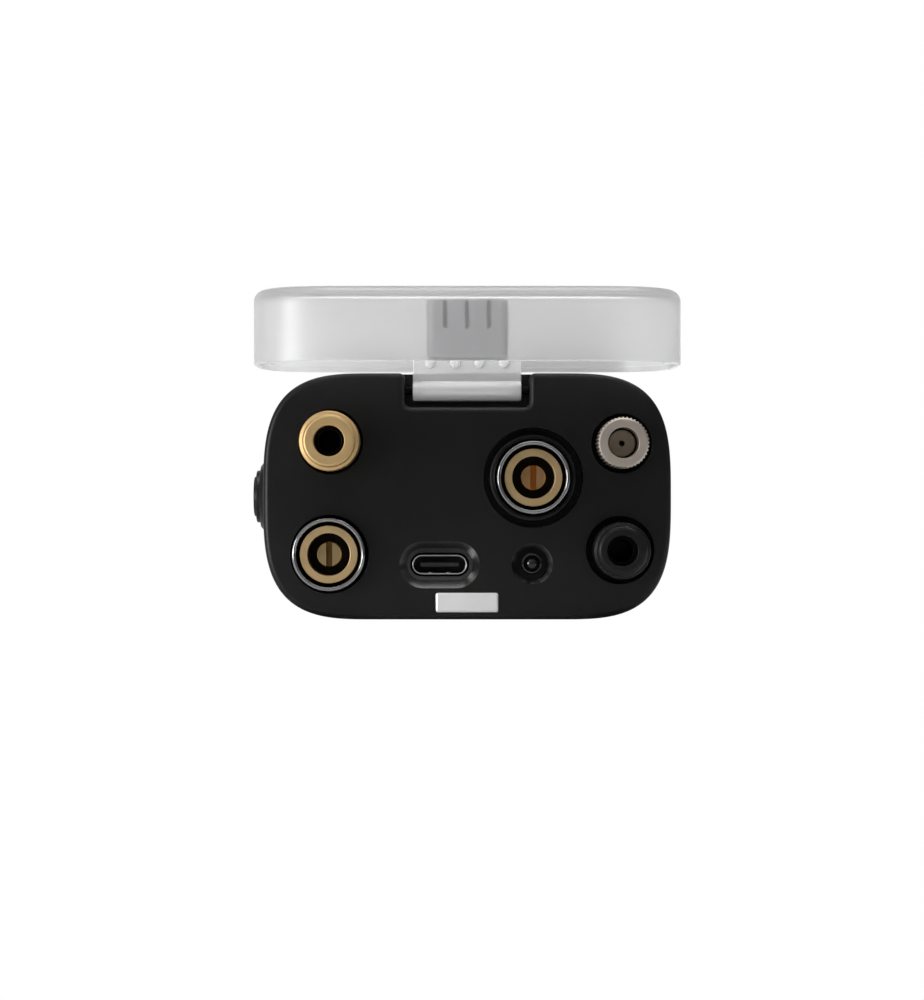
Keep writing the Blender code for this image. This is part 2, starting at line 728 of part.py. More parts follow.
def jack(tag, place, collar_radius, proud, collar_material):
    """A 3.5 mm jack: a round collar over a black barrel with a blind bore."""
    shoulder = proud - JACK_CREST_INSET
    crest = collar_radius - JACK_CREST_INSET
    thread = collar_radius - GAP
    tail = -FACE_THICKNESS - LOCKNUT_THICKNESS - 2 * GAP
    barrel_bore = JACK_BARREL_RADIUS + GAP
    lip = proud - JACK_LIP
    nose = arc((crest, shoulder), JACK_CREST_INSET, 90, 0, 3)
    profile = [(JACK_MOUTH_RADIUS, proud - JACK_CREST_INSET / 4)] + nose
    profile += [(collar_radius, 0.0), (thread, 0.0), (thread, tail), (barrel_bore, tail),
                (barrel_bore, lip), (JACK_MOUTH_RADIUS, lip)]
    link(turned(tag + "_collar", profile, place, OUT_OF_FACE, ROUND, closed=True), collar_material)
    top = lip - GAP
    bottom = top - JACK_BORE_DEPTH
    barrel = rod(tag + "_barrel", JACK_BARREL_RADIUS, -SOCKET_DEPTH, top, place, OUT_OF_FACE, ROUND)
    cut(barrel, tool(rod(tag + "_bore", JACK_BORE_RADIUS, bottom, top + OVERRUN, place, OUT_OF_FACE)))
    link(barrel, gloss_black())


def locknut(name, place, bore, front):
    """A slotted ring nut behind the face, its front at the given depth."""
    outer = bore + LOCKNUT_RIM
    back = -front - LOCKNUT_THICKNESS
    nut = link(tube(name, outer, bore, back, -front, place, OUT_OF_FACE), nickel())
    half = LOCKNUT_SLOT_WIDTH / 2
    slot_front = place.y - back - LOCKNUT_SLOT_DEPTH
    slot_back = place.y - back + OVERRUN
    reach = outer + OVERRUN
    cut(nut, tool(block(name + "_slot_across", (place.x - reach, slot_front, place.z - half),
                        (place.x + reach, slot_back, place.z + half))))
    cut(nut, tool(block(name + "_slot_up", (place.x - half, slot_front, place.z - reach),
                        (place.x + half, slot_back, place.z + reach))))


def locknuts():
    """The nuts that hold the jacks and the coaxial sockets."""
    behind = FACE_THICKNESS + GAP
    behind_bezel = behind + WELL_FLANGE + GAP
    locknut("brass_jack_nut", LEFT_JACK, JACK_COLLAR_RADIUS, behind)
    locknut("black_jack_nut", RIGHT_JACK, BLACK_COLLAR_RADIUS, behind)
    bore = COAX_SHELL_RADIUS + GAP
    locknut("left_coax_nut", LEFT_COAX, bore, behind)
    locknut("middle_coax_nut", MIDDLE_COAX, bore, behind_bezel)


def coax_socket(tag, place, pin_material):
    """A coaxial socket: chrome shell, gold ring, slotted centre contact, black insulator."""
    front = COAX_PROUD
    back = -COAX_SHELL_LENGTH
    edge = (COAX_SHELL_RADIUS - COAX_SHELL_BORE) / 2
    rim = arc((COAX_SHELL_RADIUS - edge, front - edge), edge, 180, 0, 4)
    profile = rim + [(COAX_SHELL_RADIUS, back), (COAX_SHELL_BORE, back)]
    link(turned(tag + "_shell", profile, place, OUT_OF_FACE, LARGE_ROUND, closed=True), chrome())

    ring_top = front - COAX_RING_SETBACK
    ring_bottom = ring_top - COAX_RING_LENGTH
    ring = tube(tag + "_ring", COAX_RING_RADIUS, COAX_RING_BORE, ring_bottom, ring_top, place, OUT_OF_FACE)
    link(ring, gold())

    seat = ring_bottom - GAP
    outer = COAX_SHELL_BORE - GAP
    bore = COAX_TAIL_RADIUS + GAP
    link(tube(tag + "_insulator", outer, bore, back, seat, place, OUT_OF_FACE), soft_black())

    pin_top = front - COAX_PIN_SETBACK
    pin_bottom = seat + GAP
    profile = [(0.0, pin_top), (COAX_PIN_RADIUS, pin_top), (COAX_PIN_RADIUS, pin_bottom),
               (COAX_TAIL_RADIUS, pin_bottom), (COAX_TAIL_RADIUS, -SOCKET_DEPTH), (0.0, -SOCKET_DEPTH)]
    pin = link(turned(tag + "_contact", profile, place, OUT_OF_FACE, SMALL_ROUND), pin_material)
    half = COAX_SLOT_WIDTH / 2
    low = (place.x - half, place.y - pin_top - OVERRUN, place.z - COAX_PIN_RADIUS - OVERRUN)
    high = (place.x + half, place.y - pin_top + COAX_SLOT_DEPTH, place.z + COAX_PIN_RADIUS + OVERRUN)
    cut(pin, tool(block(tag + "_slot", low, high)))


def well_bezel():
    """The black ring in the well round the middle coaxial socket, flanged behind the face."""
    bore = COAX_SHELL_RADIUS + GAP
    step = -FACE_THICKNESS - GAP
    flange_radius = WELL_RADIUS + 3 * GAP
    profile = [(WELL_BEZEL_RADIUS, -WELL_BEZEL_SETBACK), (WELL_BEZEL_RADIUS, step), (flange_radius, step),
               (flange_radius, step - WELL_FLANGE), (bore, step - WELL_FLANGE), (bore, -WELL_BEZEL_SETBACK)]
    link(turned("well_bezel", profile, MIDDLE_COAX, OUT_OF_FACE, LARGE_ROUND, closed=True), satin_black())


def knurl_outline():
    """The toothed outline of the coupling ring."""
    points = []
    per_tooth = 2
    for step in range(RING_TEETH * per_tooth):
        angle = math.tau * step / (RING_TEETH * per_tooth)
        radius = RING_RADIUS - (RING_TOOTH_DEPTH if step % per_tooth == 0 else 0.0)
        points.append((radius * math.cos(angle), radius * math.sin(angle)))
    return points


def coupling():
    """The knurled coupling ring, which turns on its barrel, and the contact parts in it."""
    inner_lip = -RING_HEAD_HEIGHT - 2 * GAP
    ring_back = inner_lip - RING_LIP
    ring = plate("coupling_ring", knurl_outline(), FACE_Y - RING_PROUD, FACE_Y - ring_back,
                 (RING_PLACE.x, RING_ROW))
    link(ring, nickel())
    head_bore = RING_HEAD_RADIUS + GAP
    neck_bore = RING_NECK_RADIUS + GAP
    top = RING_PROUD + OVERRUN
    end = ring_back - OVERRUN
    hollow = [(0.0, top), (RING_BORE, top), (RING_BORE, GAP), (head_bore, GAP), (head_bore, inner_lip),
              (neck_bore, inner_lip), (neck_bore, end), (0.0, end)]
    cut(ring, tool(turned("ring_hollow", hollow, RING_PLACE, OUT_OF_FACE, ROUND)))
    wide = RING_RADIUS + OVERRUN
    narrow = RING_RADIUS - RING_BEVEL
    slope = [(wide, top), (wide, RING_PROUD - RING_BEVEL - (wide - RING_RADIUS)), (narrow, RING_PROUD),
             (narrow, top)]
    cut(ring, tool(turned("ring_bevel", slope, RING_PLACE, OUT_OF_FACE, LARGE_ROUND, closed=True)))

    body_top = ring_back - GAP
    flange_top = -FACE_THICKNESS - GAP
    bore = RING_NECK_RADIUS - 2 * GAP
    body_radius = RING_HOLE_RADIUS - GAP
    profile = [(RING_HEAD_RADIUS, 0.0), (RING_HEAD_RADIUS, -RING_HEAD_HEIGHT),
               (RING_NECK_RADIUS, -RING_HEAD_HEIGHT), (RING_NECK_RADIUS, body_top),
               (body_radius, body_top), (body_radius, flange_top),
               (RING_FLANGE_RADIUS, flange_top), (RING_FLANGE_RADIUS, flange_top - WELL_FLANGE),
               (body_radius, flange_top - WELL_FLANGE), (body_radius, -SOCKET_DEPTH), (bore, -SOCKET_DEPTH),
               (bore, 0.0)]
    link(turned("coupling_barrel", profile, RING_PLACE, OUT_OF_FACE, ROUND, closed=True), nickel())

    disc = RING_BORE - GAP
    stem = bore - GAP
    profile = [(0.0, 3 * GAP), (disc, 3 * GAP), (disc, GAP), (stem, GAP), (stem, -SOCKET_DEPTH),
               (0.0, -SOCKET_DEPTH)]
    insert = turned("coupling_dielectric", profile, RING_PLACE, OUT_OF_FACE, ROUND)
    socket = rod("pin_socket", RING_PIN_HOLE, -JACK_LIP, OVERRUN, RING_PLACE, OUT_OF_FACE, SMALL_ROUND)
    cut(insert, tool(socket))
    link(insert, dielectric())


def usb_receptacle():
    """The USB-C shell and the tongue in it."""
    front = FACE_Y + USB_SETBACK
    back = front + USB_LENGTH
    centre = (USB_PLACE.x, USB_ROW)
    shell = link(plate("usb_c_shell", stadium(USB_WIDTH, USB_HEIGHT), front, back, centre), steel())
    inside = stadium(USB_WIDTH - 2 * USB_SHELL_WALL, USB_HEIGHT - 2 * USB_SHELL_WALL)
    cut(shell, tool(plate("usb_inside", inside, front - OVERRUN, back + OVERRUN, centre)))
    trim = 2 * (USB_SHELL_WALL + GAP / 2)
    base = stadium(USB_WIDTH - trim, USB_HEIGHT - trim)
    tongue = link(plate("usb_c_tongue", base, back - USB_BASE_LENGTH, back, centre), soft_black())
    half = USB_TONGUE_WIDTH / 2
    low = (USB_PLACE.x - half, front + 2 * GAP, USB_PLACE.z - USB_TONGUE_THICKNESS / 2)
    high = (USB_PLACE.x + half, back - USB_BASE_LENGTH / 2, USB_PLACE.z + USB_TONGUE_THICKNESS / 2)
    join(tongue, tool(block("usb_blade", low, high)))


def status_light():
    """The domed lens with its light pipe, and the LED behind it."""
    top = -LIGHT_LENS_SETBACK
    base = -FACE_THICKNESS - GAP
    flange = LIGHT_HOLE_RADIUS + 2 * GAP
    dome = arc((0.0, top - LIGHT_LENS_RADIUS), LIGHT_LENS_RADIUS, 90, 0, 4)
    end = -SOCKET_DEPTH + LED_HEIGHT
    profile = dome + [(LIGHT_LENS_RADIUS, base), (flange, base), (flange, base - 2 * GAP),
                      (LIGHT_PIPE_RADIUS, base - 2 * GAP), (LIGHT_PIPE_RADIUS, end), (0.0, end)]
    profile[0] = (0.0, top)
    link(turned("status_lens", profile, LIGHT_PLACE, OUT_OF_FACE, SMALL_ROUND), gloss_black())
    half = LED_SIZE / 2
    led_back = BOARD_Y - GAP
    low = (LIGHT_PLACE.x - half, led_back - LED_HEIGHT, LIGHT_PLACE.z - half)
    link(block("status_led", low, (LIGHT_PLACE.x + half, led_back, LIGHT_PLACE.z + half)), frosted())


def strike_plate():
    """The plated steel plate that the latch magnet holds to."""
    front = FACE_Y - STRIKE_PROUD
    piece = plate("strike_plate", rounded_rectangle(STRIKE_WIDTH, STRIKE_HEIGHT, GAP), front,
                  front + STRIKE_THICKNESS, (0.0, STRIKE_PLACE.z - MIDDLE))
    link(piece, nickel())


def bezel_barrel_radius():
    return BUTTON_RADIUS + BUTTON_CLEARANCE + BEZEL_WALL


def side_button():
    """The button, its bezel and retainer, the switch it works, and the switch's board."""
    bore = BUTTON_RADIUS + BUTTON_CLEARANCE
    barrel = bezel_barrel_radius()
    tail = -BODY_WALL - BEZEL_TAIL
    brim = barrel + BEZEL_FLANGE_WIDTH
    profile = [(bore, BEZEL_PROUD), (barrel, BEZEL_PROUD), (brim, BEZEL_PROUD / 2),
               (brim, GAP), (barrel, GAP), (barrel, tail), (bore, tail)]
    link(turned("button_bezel", profile, BUTTON_PLACE, OUT_OF_SIDE, ROUND, closed=True), satin_black())

    clip = tail + RETAINER_THICKNESS
    link(tube("bezel_retainer", barrel + GAP / 2 + RETAINER_WIDTH, barrel + GAP / 2, tail, clip,
              BUTTON_PLACE, OUT_OF_SIDE), steel())

    flange_top = tail - GAP
    flange_bottom = flange_top - BUTTON_FLANGE
    tier = BUTTON_PROUD - BUTTON_TIER
    fillet = BUTTON_TIER
    crown = BUTTON_RADIUS - BUTTON_TIER_WIDTH
    flange = bore + BUTTON_FLANGE_OVERLAP
    profile = [(0.0, BUTTON_PROUD), (crown - fillet, BUTTON_PROUD - fillet / 4), (crown, tier)]
    profile += arc((BUTTON_RADIUS - fillet, tier - fillet), fillet, 90, 0, 2)
    profile += [(BUTTON_RADIUS, flange_top), (flange, flange_top)]
    profile += [(flange, flange_bottom), (0.0, flange_bottom)]
    link(turned("side_button", profile, BUTTON_PLACE, OUT_OF_SIDE, ROUND), satin_black())

    plunger_top = flange_bottom - GAP
    plunger_end = plunger_top - PLUNGER_LENGTH
    plunger = rod("switch_plunger", PLUNGER_RADIUS, plunger_end, plunger_top, BUTTON_PLACE, OUT_OF_SIDE)
    link(plunger, soft_black())

    case_top = flange_bottom - BUTTON_TRAVEL - GAP
    case_end = case_top - SWITCH_THICKNESS
    half = SWITCH_SIZE / 2
    low = (BUTTON_PLACE.x - case_top, BUTTON_PLACE.y - half, BUTTON_PLACE.z - half)
    high = (BUTTON_PLACE.x - case_end, BUTTON_PLACE.y + half, BUTTON_PLACE.z + half)
    case = link(block("tact_switch", low, high), steel())
    cut(case, tool(rod("plunger_bore", PLUNGER_RADIUS + GAP, plunger_end - BUTTON_TRAVEL - GAP / 2,
                       case_top + OVERRUN, BUTTON_PLACE, OUT_OF_SIDE)))
    half = BUTTON_BOARD_HALF
    board = high[0] + GAP
    low = (board, BUTTON_PLACE.y - half, BUTTON_PLACE.z - half)
    high = (board + BUTTON_BOARD_THICKNESS, BOARD_Y - GAP, BUTTON_PLACE.z + half)
    link(block("button_board", low, high), board_green())


def connector_board():
    """The upright board that the sockets are soldered to."""
    outline = body_outline(BODY_WALL + CONNECTOR_BOARD_MARGIN)
    link(plate("connector_board", outline, BOARD_Y, BOARD_Y + CONNECTOR_BOARD_THICKNESS), board_green())


def chassis_half_width():
    return BODY_WIDTH / 2 - BODY_WALL - CHASSIS_MARGIN


def standoff_places():
    """The four standoffs under the chassis, inside its corners."""
    across = chassis_half_width() - STANDOFF_INSET
    near = INNER_Y + STANDOFF_INSET
    far = INNER_END_Y - COVER_BOSS_LENGTH
    return [Vector((side * across, y, 0.0)) for side in (-1, 1) for y in (near, far)]


CHASSIS_TOP = MIDDLE - CHASSIS_BELOW_MIDDLE + CHASSIS_THICKNESS / 2
CHASSIS_BOTTOM = CHASSIS_TOP - CHASSIS_THICKNESS
STANDOFF_END = CHASSIS_BOTTOM - STANDOFF_HEIGHT
BOARD_TOP = STANDOFF_END - GAP
BOARD_BOTTOM = BOARD_TOP - MAIN_BOARD_THICKNESS
UPRIGHT = Matrix.Identity(4)
UPSIDE_DOWN = Matrix.Rotation(math.radians(180), 4, "X")


def chassis_frame():
    """The tray between the battery and the main board, with side rails and standoffs."""
    half = chassis_half_width()
    low = (-half, INNER_Y, CHASSIS_BOTTOM)
    high = (half, INNER_END_Y, CHASSIS_TOP)
    tray = link(block("chassis_frame", low, high), soft_black())
    rail = CHASSIS_THICKNESS
    for name, side in (("left_rail", -1), ("right_rail", 1)):
        inner = side * (half - rail)
        outer = side * half
        low = (min(inner, outer), INNER_Y, CHASSIS_TOP - GAP)
        high = (max(inner, outer), INNER_END_Y, CHASSIS_TOP + CHASSIS_RAIL_HEIGHT)
        join(tray, tool(block(name, low, high)))
    for number, place in enumerate(standoff_places()):
        base = Vector((place.x, place.y, CHASSIS_BOTTOM))
        join(tray, tool(rod(f"standoff_{number}", STANDOFF_RADIUS, -STANDOFF_HEIGHT, GAP, base, UPRIGHT)))
    for number, place in enumerate(standoff_places()):
        base = Vector((place.x, place.y, STANDOFF_END))
        radius = BOARD_SCREW_RADIUS + GAP
        reach = BOARD_SCREW_BITE + GAP
        cut(tray, tool(rod(f"standoff_hole_{number}", radius, -OVERRUN, reach, base, UPRIGHT)))


def main_board():
    """The main circuit board, screwed up under the chassis."""
    half = chassis_half_width()
    low = (-half, INNER_Y, BOARD_BOTTOM)
    high = (half, INNER_END_Y, BOARD_TOP)
    board = link(block("main_board", low, high), board_green())
    for number, place in enumerate(standoff_places()):
        base = Vector((place.x, place.y, BOARD_BOTTOM))
        cut(board, tool(rod(f"board_hole_{number}", BOARD_SCREW_RADIUS + GAP, -OVERRUN,
                            MAIN_BOARD_THICKNESS + OVERRUN, base, UPRIGHT)))
        head = Vector((place.x, place.y, BOARD_BOTTOM - GAP - BOARD_SCREW_HEAD_HEIGHT))
        length = BOARD_SCREW_HEAD_HEIGHT + 2 * GAP + MAIN_BOARD_THICKNESS + BOARD_SCREW_BITE
        screw = screw_solid(f"board_screw_{number + 1}", head, UPSIDE_DOWN, BOARD_SCREW_HEAD_RADIUS,
                            BOARD_SCREW_HEAD_HEIGHT, BOARD_SCREW_RADIUS, length,
                            BOARD_SCREW_RADIUS, BOARD_SCREW_HEAD_HEIGHT / 2)
        link(screw, steel())


def battery():
    """The lithium cell on the chassis, and its lead down to the main board."""
    front = INNER_Y + 2 * GAP
    back = INNER_END_Y - ANTENNA_THICKNESS - 4 * GAP
    bottom = CHASSIS_TOP + GAP
    half = BATTERY_WIDTH / 2
    cell = block("battery_cell", (-half, front, bottom), (half, back, bottom + BATTERY_THICKNESS))
    link(smooth(soften(cell, BATTERY_EDGE)), finish("battery_wrap", (0.05, 0.12, 0.30), 0.40))
    x = half / 2
    bow = CHASSIS_CLEARANCE / 2
    level = BOARD_TOP + LEAD_RADIUS
    start = bottom + BATTERY_THICKNESS / 2
    route = [(x, front - GAP, start), (x, front - bow, start), (x, INNER_Y - bow, bottom),
             (x, INNER_Y - bow, CHASSIS_BOTTOM), (x, INNER_Y - bow / 2, level + 3 * GAP),
             (x, INNER_Y + bow, level + GAP)]
    link(lead("battery_lead", route), finish("lead_red", (0.45, 0.02, 0.02), 0.5))


def lead(name, route):
    """A short insulated two-core lead along a route."""
    curve = bpy.data.curves.new(name, "CURVE")
    curve.dimensions = "3D"
    curve.bevel_depth = LEAD_RADIUS
    curve.bevel_resolution = 2
    curve.use_fill_caps = True
    spline = curve.splines.new("POLY")
    spline.points.add(len(route) - 1)
    for point, place in zip(spline.points, route):
        point.co = (*place, 1.0)
    guide = bpy.data.objects.new(name + "_route", curve)
    bpy.context.scene.collection.objects.link(guide)
    return as_mesh(guide, name)


def radio_parts():
    """The shield can under the main board, and the antenna strip at the rear."""
    half = SHIELD_WIDTH / 2
    front = (INNER_Y + INNER_END_Y - SHIELD_LENGTH) / 2
    top = BOARD_BOTTOM - GAP
    can = block("rf_shield", (-half, front, top - SHIELD_HEIGHT), (half, front + SHIELD_LENGTH, top))
    shape = bmesh.new()
    shape.from_mesh(can.data)
    lid = [face for face in shape.faces if face.normal.z > 0.5]
    bmesh.ops.delete(shape, geom=lid, context="FACES_ONLY")
    shape.to_mesh(can.data)
    shape.free()
    link(can, steel())
    wall = can.modifiers.new("wall", "SOLIDIFY")
    wall.thickness = SHIELD_WALL
    wall.offset = -1.0
    half = ANTENNA_WIDTH / 2
    back = INNER_END_Y - GAP
    low = (-half, back - ANTENNA_THICKNESS, CHASSIS_TOP + 3 * GAP)
    high = (half, back, CHASSIS_TOP + 3 * GAP + ANTENNA_HEIGHT)
    link(block("internal_antenna", low, high), finish("copper", (0.60, 0.30, 0.16), 0.35, 1.0))


def cap_pivot():
    """An empty on the hinge axis. The cap is modelled closed, and the empty opens it."""
    pivot = bpy.data.objects.new("cap_pivot", None)
    parts.objects.link(pivot)
    pivot.location = HINGE
    return pivot


def cap_shell(pivot):
    """The frosted clear cap: a shallow tray with a thin lip round its rim."""
    rim = FACE_Y - CAP_RIM_GAP
    front = rim - CAP_DEPTH
    shell = link(plate("cap_shell", body_outline(), front, rim), frosted(), pivot)
    round_rim(shell, CAP_EDGE_RADIUS, 3, +1)
    hollow = tool(plate("cap_hollow", body_outline(CAP_WALL), front + CAP_WALL, rim + OVERRUN), pivot)
    round_rim(hollow, CAP_INNER_RADIUS, 2, +1)
    lip = tool(plate("cap_lip_step", body_outline(CAP_LIP_WALL), rim - CAP_LIP_HEIGHT, rim + OVERRUN), pivot)
    cut(shell, hollow, lip)


def leaf_centre():
    """Height of the middle of the hinge leaf, cap closed."""
    return BODY_HEIGHT - CAP_WALL - GAP - LEAF_THICKNESS / 2


def stake_places():
    """The four stakes across the leaf, cap closed."""
    first = -(STAKE_COUNT - 1) / 2 * STAKE_SPACING
    row = FACE_Y - STAKE_FORWARD
    return [Vector((first + number * STAKE_SPACING, row, 0.0)) for number in range(STAKE_COUNT)]


def hinge_leaf(pivot):
    """The leaf inside the cap's wall, with the barrel at its end, staked to the cap."""
    half = NOTCH_WIDTH / 2 - LEAF_SIDE_GAP
    bottom = leaf_centre() - LEAF_THICKNESS / 2
    top = leaf_centre() + LEAF_THICKNESS / 2
    rough = half + OVERRUN
    low = (-rough, FACE_Y - LEAF_REACH, bottom)
    high = (rough, HINGE.y, top)
    leaf = link(block("hinge_leaf", low, high), frosted(), pivot)
    join(leaf, tool(rod("barrel", BARREL_RADIUS, -rough - GAP, rough + GAP, HINGE, ALONG_WIDTH), pivot))
    for side in (-1, 1):
        ends = sorted((side * half, side * (rough + OVERRUN)))
        low = (ends[0], FACE_Y - LEAF_REACH - OVERRUN, HINGE.z - BARREL_RADIUS - OVERRUN)
        high = (ends[1], HINGE.y + BARREL_RADIUS + OVERRUN, top + BARREL_RADIUS + OVERRUN)
        cut(leaf, tool(block("leaf_end", low, high), pivot))
    sleeve_bore = SLEEVE_RADIUS + PIN_CLEARANCE
    pin_bore = PIN_RADIUS + PIN_CLEARANCE
    sleeve_half = SLEEVE_LENGTH / 2 + PIN_CLEARANCE
    bore = [(0.0, half + OVERRUN), (sleeve_bore, half + OVERRUN), (sleeve_bore, -sleeve_half),
            (pin_bore, -sleeve_half), (pin_bore, -half - OVERRUN), (0.0, -half - OVERRUN)]
    cut(leaf, tool(turned("barrel_bore", bore, HINGE, ALONG_WIDTH, SMALL_ROUND), pivot))
    for number, place in enumerate(stake_places()):
        base = Vector((place.x, place.y, bottom))
        hole = STAKE_SHANK_RADIUS + STAKE_CLEARANCE
        end = LEAF_THICKNESS + OVERRUN
        cut(leaf, tool(rod(f"stake_hole_{number}", hole, -OVERRUN, end, base, UPRIGHT, SMALL_ROUND), pivot))


def leaf_stakes(pivot):
    """The four melted stake heads that hold the leaf to the cap."""
    bottom = leaf_centre() - LEAF_THICKNESS / 2
    for number, place in enumerate(stake_places()):
        head = STAKE_CLEARANCE + STAKE_HEAD_HEIGHT
        length = head + LEAF_THICKNESS + GAP / 2
        base = Vector((place.x, place.y, bottom - head))
        profile = [(0.0, 0.0), (STAKE_HEAD_RADIUS * STAKE_FLAT_SHARE, -STAKE_HEAD_HEIGHT * STAKE_CROWN_SHARE),
                   (STAKE_HEAD_RADIUS, -STAKE_HEAD_HEIGHT), (STAKE_SHANK_RADIUS, -STAKE_HEAD_HEIGHT),
                   (STAKE_SHANK_RADIUS, -length), (0.0, -length)]
        link(turned(f"leaf_stake_{number + 1}", profile, base, UPSIDE_DOWN, SMALL_ROUND), frosted(), pivot)


def hinge_pin_and_sleeve(pivot):
    """The steel pin, fixed in the housing, and the friction sleeve pressed into the barrel."""
    reach = NOTCH_WIDTH / 2 + PIN_GRIP
    link(rod("hinge_pin", PIN_RADIUS, -reach, reach, HINGE, ALONG_WIDTH), steel())
    half = SLEEVE_LENGTH / 2
    bore = PIN_RADIUS + PIN_CLEARANCE
    sleeve = tube("friction_sleeve", SLEEVE_RADIUS, bore, -half, half, HINGE, ALONG_WIDTH, SMALL_ROUND)
    link(sleeve, steel(), pivot)


def latch(pivot):
    """The grey block inside the cap, with the magnet that holds to the strike plate."""
    rim = FACE_Y - CAP_RIM_GAP - LATCH_SETBACK
    front = FACE_Y - CAP_RIM_GAP - CAP_DEPTH + CAP_WALL + GAP
    bottom = CAP_WALL + GAP
    top = bottom + LATCH_THICKNESS
    half = LATCH_WIDTH / 2
    body = link(block("latch_block", (-half, front, bottom), (half, rim, top)), latch_grey(), pivot)
    for number in (-1, 0, 1):
        x = number * LATCH_RIB_SPACING
        low = (x - LATCH_RIB_WIDTH / 2, front - OVERRUN, bottom - OVERRUN)
        high = (x + LATCH_RIB_WIDTH / 2, front + LATCH_RIB_LENGTH, bottom + LATCH_RIB_DEPTH)
        cut(body, tool(block(f"latch_groove_{number + 1}", low, high), pivot))
    middle = (bottom + top + LATCH_RIB_DEPTH) / 2
    wide = MAGNET_WIDTH / 2
    thick = MAGNET_THICKNESS / 2
    gap = GAP / 2
    pocket = block("magnet_pocket", (-wide - gap, rim - MAGNET_LENGTH - gap, middle - thick - gap),
                   (wide + gap, rim + OVERRUN, middle + thick + gap))
    cut(body, tool(pocket, pivot))
    link(block("latch_magnet", (-wide, rim - MAGNET_LENGTH, middle - thick), (wide, rim, middle + thick)),
         steel(), pivot)


def build():
    start_scene()
    main_housing()
    rear_cover()
    rear_seal()
    rear_cover_screws()
    jack("brass_jack", LEFT_JACK, JACK_COLLAR_RADIUS, JACK_PROUD, brass())
    jack("black_jack", RIGHT_JACK, BLACK_COLLAR_RADIUS, BLACK_JACK_PROUD, satin_black())
    locknuts()
    coax_socket("left_coax", LEFT_COAX, gold())
    coax_socket("middle_coax", MIDDLE_COAX, gold())
    well_bezel()
    coupling()
    usb_receptacle()
    status_light()
    strike_plate()
    side_button()
    connector_board()
    chassis_frame()
    main_board()
    battery()
    radio_parts()
    pivot = cap_pivot()
    cap_shell(pivot)
    hinge_leaf(pivot)
    leaf_stakes(pivot)
    hinge_pin_and_sleeve(pivot)
    latch(pivot)
    pivot.rotation_euler.x = -CAP_OPEN_ANGLE
    bpy.context.view_layer.update()


build()
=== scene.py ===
"""The looks of a wireless bodypack transmitter that lies on its broad bottom, its clear cap standing open.

Units are metres, +Z up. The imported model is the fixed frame: the connectors look along -Y, the side
button is on the -X side. Pieces come in the order in which the pack is put together.
"""

import math

import bmesh
import bpy
from mathutils import Matrix, Vector


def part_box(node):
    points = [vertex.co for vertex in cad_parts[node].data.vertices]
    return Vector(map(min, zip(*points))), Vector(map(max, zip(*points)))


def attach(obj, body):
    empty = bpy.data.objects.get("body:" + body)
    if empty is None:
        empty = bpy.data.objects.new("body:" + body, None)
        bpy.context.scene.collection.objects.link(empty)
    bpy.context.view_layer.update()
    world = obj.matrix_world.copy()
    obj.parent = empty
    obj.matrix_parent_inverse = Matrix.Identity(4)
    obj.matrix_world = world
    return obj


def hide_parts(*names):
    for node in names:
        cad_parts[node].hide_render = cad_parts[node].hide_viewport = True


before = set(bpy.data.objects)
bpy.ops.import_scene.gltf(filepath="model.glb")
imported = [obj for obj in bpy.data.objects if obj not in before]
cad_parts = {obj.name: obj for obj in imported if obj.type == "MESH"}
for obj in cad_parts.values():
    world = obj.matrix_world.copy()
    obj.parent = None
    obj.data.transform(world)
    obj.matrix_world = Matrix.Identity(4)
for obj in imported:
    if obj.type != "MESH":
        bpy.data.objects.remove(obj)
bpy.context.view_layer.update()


# ---------------------------------------------------------------- main housing
# The moulded box of the pack: connector face, sides and hinge cheeks in one piece, open at the rear.
# Glass-filled black nylon with a fine spark-eroded grain, all edges of the face rounded in the mould.

MM = 0.001
housing_low, housing_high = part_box("main_housing")
half_width = housing_high.x
half_height = (housing_high.z - housing_low.z) / 2
middle = (housing_high.z + housing_low.z) / 2
face_y = housing_low.y
housing_end = housing_high.y

flat_half = 14.9 * MM           # half of the straight run along the top and the bottom
corner_power = 3.27             # how square a corner is: 2 is an ellipse
corner_steps = 44
wall = 2.0 * MM
face_wall = 3.0 * MM
edge_radius = 0.9 * MM
edge_steps = 9
notch_half = 10.0 * MM
notch_drop = 5.46 * MM
notch_depth = 5.0 * MM
notch_outer_corner = 0.95 * MM
notch_inner_corner = 1.0 * MM
hinge_cheek = 3.5 * MM
hinge_floor = 2.0 * MM
hinge_back = 2.5 * MM
clearance = 0.3 * MM
overrun = 1.0 * MM              # how far a cutter goes past what it cuts


def arc(centre, radius, start, end, steps):
    """Points on an arc about a centre, from one angle to another in degrees."""
    turns = [math.radians(start + (end - start) * step / steps) for step in range(steps + 1)]
    return [(centre[0] + radius * math.cos(turn), centre[1] + radius * math.sin(turn)) for turn in turns]


def corner_quarter(inset):
    """One rounded corner of the pack's section, from its side to its top, set in along its normals."""
    reach = half_width - flat_half
    slope = corner_power - 1
    points = []
    for step in range(corner_steps + 1):
        angle = math.pi / 2 * step / corner_steps
        across = max(math.cos(angle), 0.0)
        up = math.sin(angle)
        size = (across ** corner_power + up ** corner_power) ** (-1 / corner_power)
        across *= size
        up *= size
        normal = Vector((across ** slope / reach, up ** slope / half_height)).normalized()
        points.append((flat_half + reach * across - inset * normal.x, half_height * up - inset * normal.y))
    return points


def body_outline(inset=0.0, top=()):
    """The whole section about its middle, with any extra points along its top from right to left."""
    quarter = corner_quarter(inset)
    points = quarter + list(top)
    points += [(-x, z) for x, z in reversed(quarter)]
    points += [(-x, -z) for x, z in quarter[1:]]
    points += [(x, -z) for x, z in reversed(quarter[1:])]
    return points


